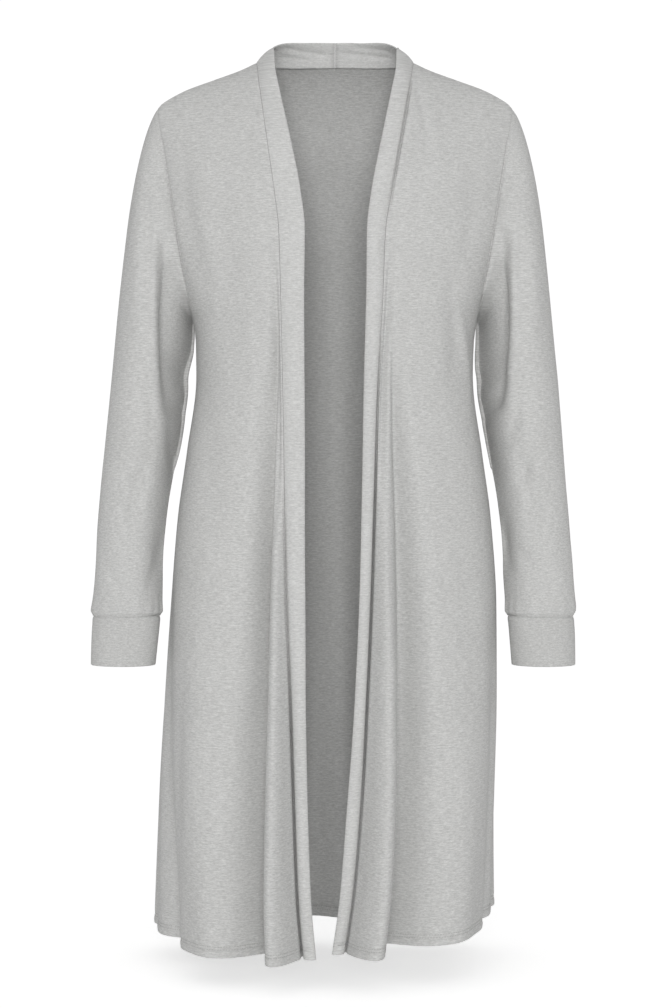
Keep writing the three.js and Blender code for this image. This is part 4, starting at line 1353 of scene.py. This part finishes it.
class CARDIGAN_OT_panels(bpy.types.Operator):
    """Make the back and the two fronts"""

    bl_idname = "cardigan.panels"
    bl_label = "Body panels"

    def execute(self, context):
        for node, panel in get_panels().items():
            grid, normals, outside = (panel[key] for key in ("grid", "normals", "outside"))
            anchor = grid.shape[1] // 2 if node == "back" else -1
            sew_piece(node, "jersey", grid, normals, False, outside, ("bottom",), anchor)
        return {"FINISHED"}


class CARDIGAN_OT_bands(bpy.types.Operator):
    """Make the neck and front band of each side"""

    bl_idname = "cardigan.bands"
    bl_label = "Neck and front bands"

    def execute(self, context):
        for side, values in SIDES.items():
            grid, frames = band_grid(side, get_panels())
            outside = -values["sign"]
            normals = grid_normals(grid, False, outside)
            normals[:, 0] = frames["normal"]
            flatten(normals[-1], 0)
            sew_piece("band_" + side, "band", grid, normals, False, outside, ("top", "right"), None)
        return {"FINISHED"}


class CARDIGAN_OT_sleeves(bpy.types.Operator):
    """Make the two sleeves"""

    bl_idname = "cardigan.sleeves"
    bl_label = "Sleeves"

    def execute(self, context):
        for side, values in SIDES.items():
            sign = values["sign"]
            loop = armhole_frames(sign, get_panels())
            grid = sleeve_grid(side, loop)
            normals = grid_normals(grid, True, sign)
            normals[0] = loop["normal"]
            flatten(normals[-1], 2)
            sew_piece("sleeve_" + side, "jersey", grid, normals, True, sign)
        return {"FINISHED"}


class CARDIGAN_OT_cuffs(bpy.types.Operator):
    """Make the two cuffs"""

    bl_idname = "cardigan.cuffs"
    bl_label = "Cuffs"

    def execute(self, context):
        for side, values in SIDES.items():
            sign = values["sign"]
            grid = cuff_grid(side)
            normals = grid_normals(grid, True, sign)
            flatten(normals, 2)
            sew_piece("cuff_" + side, "cuff", grid, normals, True, sign, ("top", "bottom"))
        return {"FINISHED"}


def stitch_tree():
    """Geometry Nodes: lays one rounded stitch at each step along the given lines."""
    tree = bpy.data.node_groups.new("stitch_row", "GeometryNodeTree")
    face = tree.interface
    face.new_socket("Geometry", in_out="INPUT", socket_type="NodeSocketGeometry")
    sockets = {}
    for name in ("Pitch", "Length", "Thickness"):
        socket = face.new_socket(name, in_out="INPUT", socket_type="NodeSocketFloat")
        sockets[name] = socket.identifier
    socket = face.new_socket("Thread", in_out="INPUT", socket_type="NodeSocketMaterial")
    sockets["Thread"] = socket.identifier
    face.new_socket("Geometry", in_out="OUTPUT", socket_type="NodeSocketGeometry")
    start = tree.nodes.new("NodeGroupInput")
    stop = tree.nodes.new("NodeGroupOutput")
    line = node_link(tree, "GeometryNodeMeshToCurve", links={"Mesh": start.outputs["Geometry"]})
    even = node_link(
        tree, "GeometryNodeResampleCurve", mode="LENGTH",
        links={"Curve": line.outputs["Curve"], "Length": start.outputs["Pitch"]},
    )
    ball = node_link(tree, "GeometryNodeMeshIcoSphere", {"Radius": 0.5, "Subdivisions": 2})
    thick = start.outputs["Thickness"]
    size = node_link(
        tree, "ShaderNodeCombineXYZ", links={"X": start.outputs["Length"], "Y": thick, "Z": thick},
    )
    stitch = node_link(
        tree, "GeometryNodeTransform",
        links={"Geometry": ball.outputs["Mesh"], "Scale": size.outputs["Vector"]},
    )
    tangent = tree.nodes.new("GeometryNodeInputTangent")
    turn = node_link(
        tree, "FunctionNodeAlignRotationToVector", links={"Vector": tangent.outputs["Tangent"]}, axis="X",
    )
    place = node_link(
        tree, "GeometryNodeInstanceOnPoints",
        links={
            "Points": even.outputs["Curve"],
            "Instance": stitch.outputs["Geometry"],
            "Rotation": turn.outputs["Rotation"],
        },
    )
    real = node_link(tree, "GeometryNodeRealizeInstances", links={"Geometry": place.outputs["Instances"]})
    paint = node_link(
        tree, "GeometryNodeSetMaterial",
        links={"Geometry": real.outputs["Geometry"], "Material": start.outputs["Thread"]},
    )
    tree.links.new(paint.outputs["Geometry"], stop.inputs["Geometry"])
    return tree, sockets


def stitch_lines():
    """Hem rows on the outside of each panel, and on the inside of the back."""
    settings = bpy.context.scene.cardigan_stitch
    wall = bpy.context.scene.cardigan_cloth.jersey_wall / MM
    lines = []
    upper = settings.hem_depth / MM
    for name, panel in get_panels().items():
        for above in (upper, upper - settings.row_gap / MM):
            row = len(panel["grid"]) - 1 - round(above)
            points, normals = panel["grid"][row], panel["normals"][row]
            lines.append(points[1:-1] + normals[1:-1] * STITCH_LIFT)
            if name == "back":
                lines.append(points[1:-1] - normals[1:-1] * (wall + STITCH_LIFT))
    return lines


class CARDIGAN_OT_stitches(bpy.types.Operator):
    """Sew the hem stitches"""

    bl_idname = "cardigan.stitches"
    bl_label = "Hem stitches"

    def execute(self, context):
        settings = context.scene.cardigan_stitch
        points, edges = [], []
        for line in stitch_lines():
            first = len(points)
            points.extend((line * MM).tolist())
            edges.extend((first + i, first + i + 1) for i in range(len(line) - 1))
        mesh = bpy.data.meshes.new("hem_lines")
        mesh.from_pydata(points, edges, [])
        source = bpy.data.objects.new("hem_lines", mesh)
        context.scene.collection.objects.link(source)
        tree, sockets = stitch_tree()
        modifier = source.modifiers.new("stitches", "NODES")
        modifier.node_group = tree
        for name in ("Pitch", "Length", "Thickness"):
            modifier[sockets[name]] = getattr(settings, name.lower())
        # The thread carries painted shade: its darker colour stands in for the shadow in the stitch rows.
        modifier[sockets["Thread"]] = cloth_material("thread")
        graph = context.evaluated_depsgraph_get()
        made = bpy.data.meshes.new_from_object(source.evaluated_get(graph), depsgraph=graph)
        source.modifiers.remove(modifier)
        bpy.data.objects.remove(source)
        if not len(made.polygons):
            raise RuntimeError("the hem stitches came out empty")
        made.name = "hem_stitches"
        made.polygons.foreach_set("use_smooth", np.ones(len(made.polygons), bool))
        piece = bpy.data.objects.new("hem_stitches", made)
        context.scene.collection.objects.link(piece)
        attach(piece, "root")
        return {"FINISHED"}


class CARDIGAN_OT_stage(bpy.types.Operator):
    """Set the floor, the lights and the camera"""

    bl_idname = "cardigan.stage"
    bl_label = "Stage"

    def execute(self, context):
        settings = context.scene.cardigan_stage
        floor_mesh = bpy.data.meshes.new("floor")
        level = CAD_BOX[0].z - settings.floor_gap
        corners = [
            (x * FLOOR_REACH, y * FLOOR_REACH, level) for x, y in ((-1, -1), (1, -1), (1, 1), (-1, 1))
        ]
        floor_mesh.from_pydata(corners, [], [(0, 1, 2, 3)])
        floor = bpy.data.objects.new("floor", floor_mesh)
        context.scene.collection.objects.link(floor)
        paint = bpy.data.materials.new("pale_floor")
        paint.use_nodes = True
        shader = paint.node_tree.nodes["Principled BSDF"]
        shader.inputs["Base Color"].default_value = (FLOOR_TONE, FLOOR_TONE, FLOOR_TONE, 1)
        shader.inputs["Roughness"].default_value = FLOOR_ROUGHNESS
        shader.inputs["Emission Color"].default_value = (1, 1, 1, 1)
        seen = node_link(paint.node_tree, "ShaderNodeLightPath").outputs["Is Camera Ray"]
        glow = node_link(
            paint.node_tree, "ShaderNodeMapRange",
            {"To Min": FLOOR_GLOW["given"], "To Max": FLOOR_GLOW["seen"]}, {"Value": seen},
        )
        paint.node_tree.links.new(glow.outputs["Result"], shader.inputs["Emission Strength"])
        floor_mesh.materials.append(paint)

        world = bpy.data.worlds.new("studio")
        world.use_nodes = True
        tree = world.node_tree
        seen = node_link(tree, "ShaderNodeLightPath").outputs["Is Camera Ray"]
        strength = node_link(
            tree, "ShaderNodeMapRange",
            {"To Min": settings.room_strength, "To Max": BACKDROP_SEEN}, {"Value": seen},
        )
        background = tree.nodes["Background"]
        background.inputs["Color"].default_value = (1, 1, 1, 1)
        tree.links.new(strength.outputs["Result"], background.inputs["Strength"])
        context.scene.world = world

        softboxes = (
            ("front_light", settings.front_strength, settings.front_angle, 0),
            ("right_light", settings.side_strength, settings.side_angle, -settings.side_turn),
            ("left_light", settings.side_strength, settings.side_angle, settings.side_turn),
        )
        for name, energy, softness, turn in softboxes:
            sun = bpy.data.lights.new(name, "SUN")
            sun.energy = energy
            sun.angle = softness
            lamp = bpy.data.objects.new(name, sun)
            lamp.rotation_euler = (math.pi / 2 - settings.light_height, 0, turn)
            context.scene.collection.objects.link(lamp)

        camera = bpy.data.cameras.new("camera")
        camera.sensor_width = SENSOR_WIDTH
        camera.lens = settings.lens
        camera.shift_x, camera.shift_y = (pixels / PICTURE_HEIGHT for pixels in PICTURE_SHIFT)
        camera.clip_end = CAMERA_CLIP_END
        holder = bpy.data.objects.new("camera", camera)
        holder.location = (0, -settings.camera_distance, settings.camera_height)
        holder.rotation_euler = (math.pi / 2, 0, 0)
        context.scene.collection.objects.link(holder)
        context.scene.camera = holder
        context.scene.view_settings.view_transform = "Standard"
        return {"FINISHED"}


class CARDIGAN_PT_panel(bpy.types.Panel):
    """Cardigan builder"""

    bl_idname = "CARDIGAN_PT_panel"
    bl_label = "Cardigan"
    bl_space_type = "VIEW_3D"
    bl_region_type = "UI"
    bl_category = "Cardigan"

    def draw(self, context):
        layout = self.layout
        for operator in OPERATORS:
            layout.operator(operator.bl_idname)
        for name in SETTINGS:
            group = getattr(context.scene, name)
            box = layout.box()
            for key in group.__annotations__:
                box.prop(group, key)


OPERATORS = (
    CARDIGAN_OT_stage,
    CARDIGAN_OT_panels,
    CARDIGAN_OT_bands,
    CARDIGAN_OT_sleeves,
    CARDIGAN_OT_cuffs,
    CARDIGAN_OT_stitches,
)
SETTINGS = {
    "cardigan_cloth": ClothSettings,
    "cardigan_stitch": StitchSettings,
    "cardigan_stage": StageSettings,
}
CLASSES = (*SETTINGS.values(), *OPERATORS, CARDIGAN_PT_panel)


def register():
    for item in CLASSES:
        bpy.utils.register_class(item)
    for name, group in SETTINGS.items():
        setattr(bpy.types.Scene, name, PointerProperty(type=group))


def unregister():
    for name in SETTINGS:
        delattr(bpy.types.Scene, name)
    for item in reversed(CLASSES):
        bpy.utils.unregister_class(item)


def main():
    register()
    bpy.ops.cardigan.stage()
    bpy.ops.cardigan.panels()
    bpy.ops.cardigan.bands()
    bpy.ops.cardigan.sleeves()
    bpy.ops.cardigan.cuffs()
    bpy.ops.cardigan.stitches()


if __name__ == "__main__":
    main()
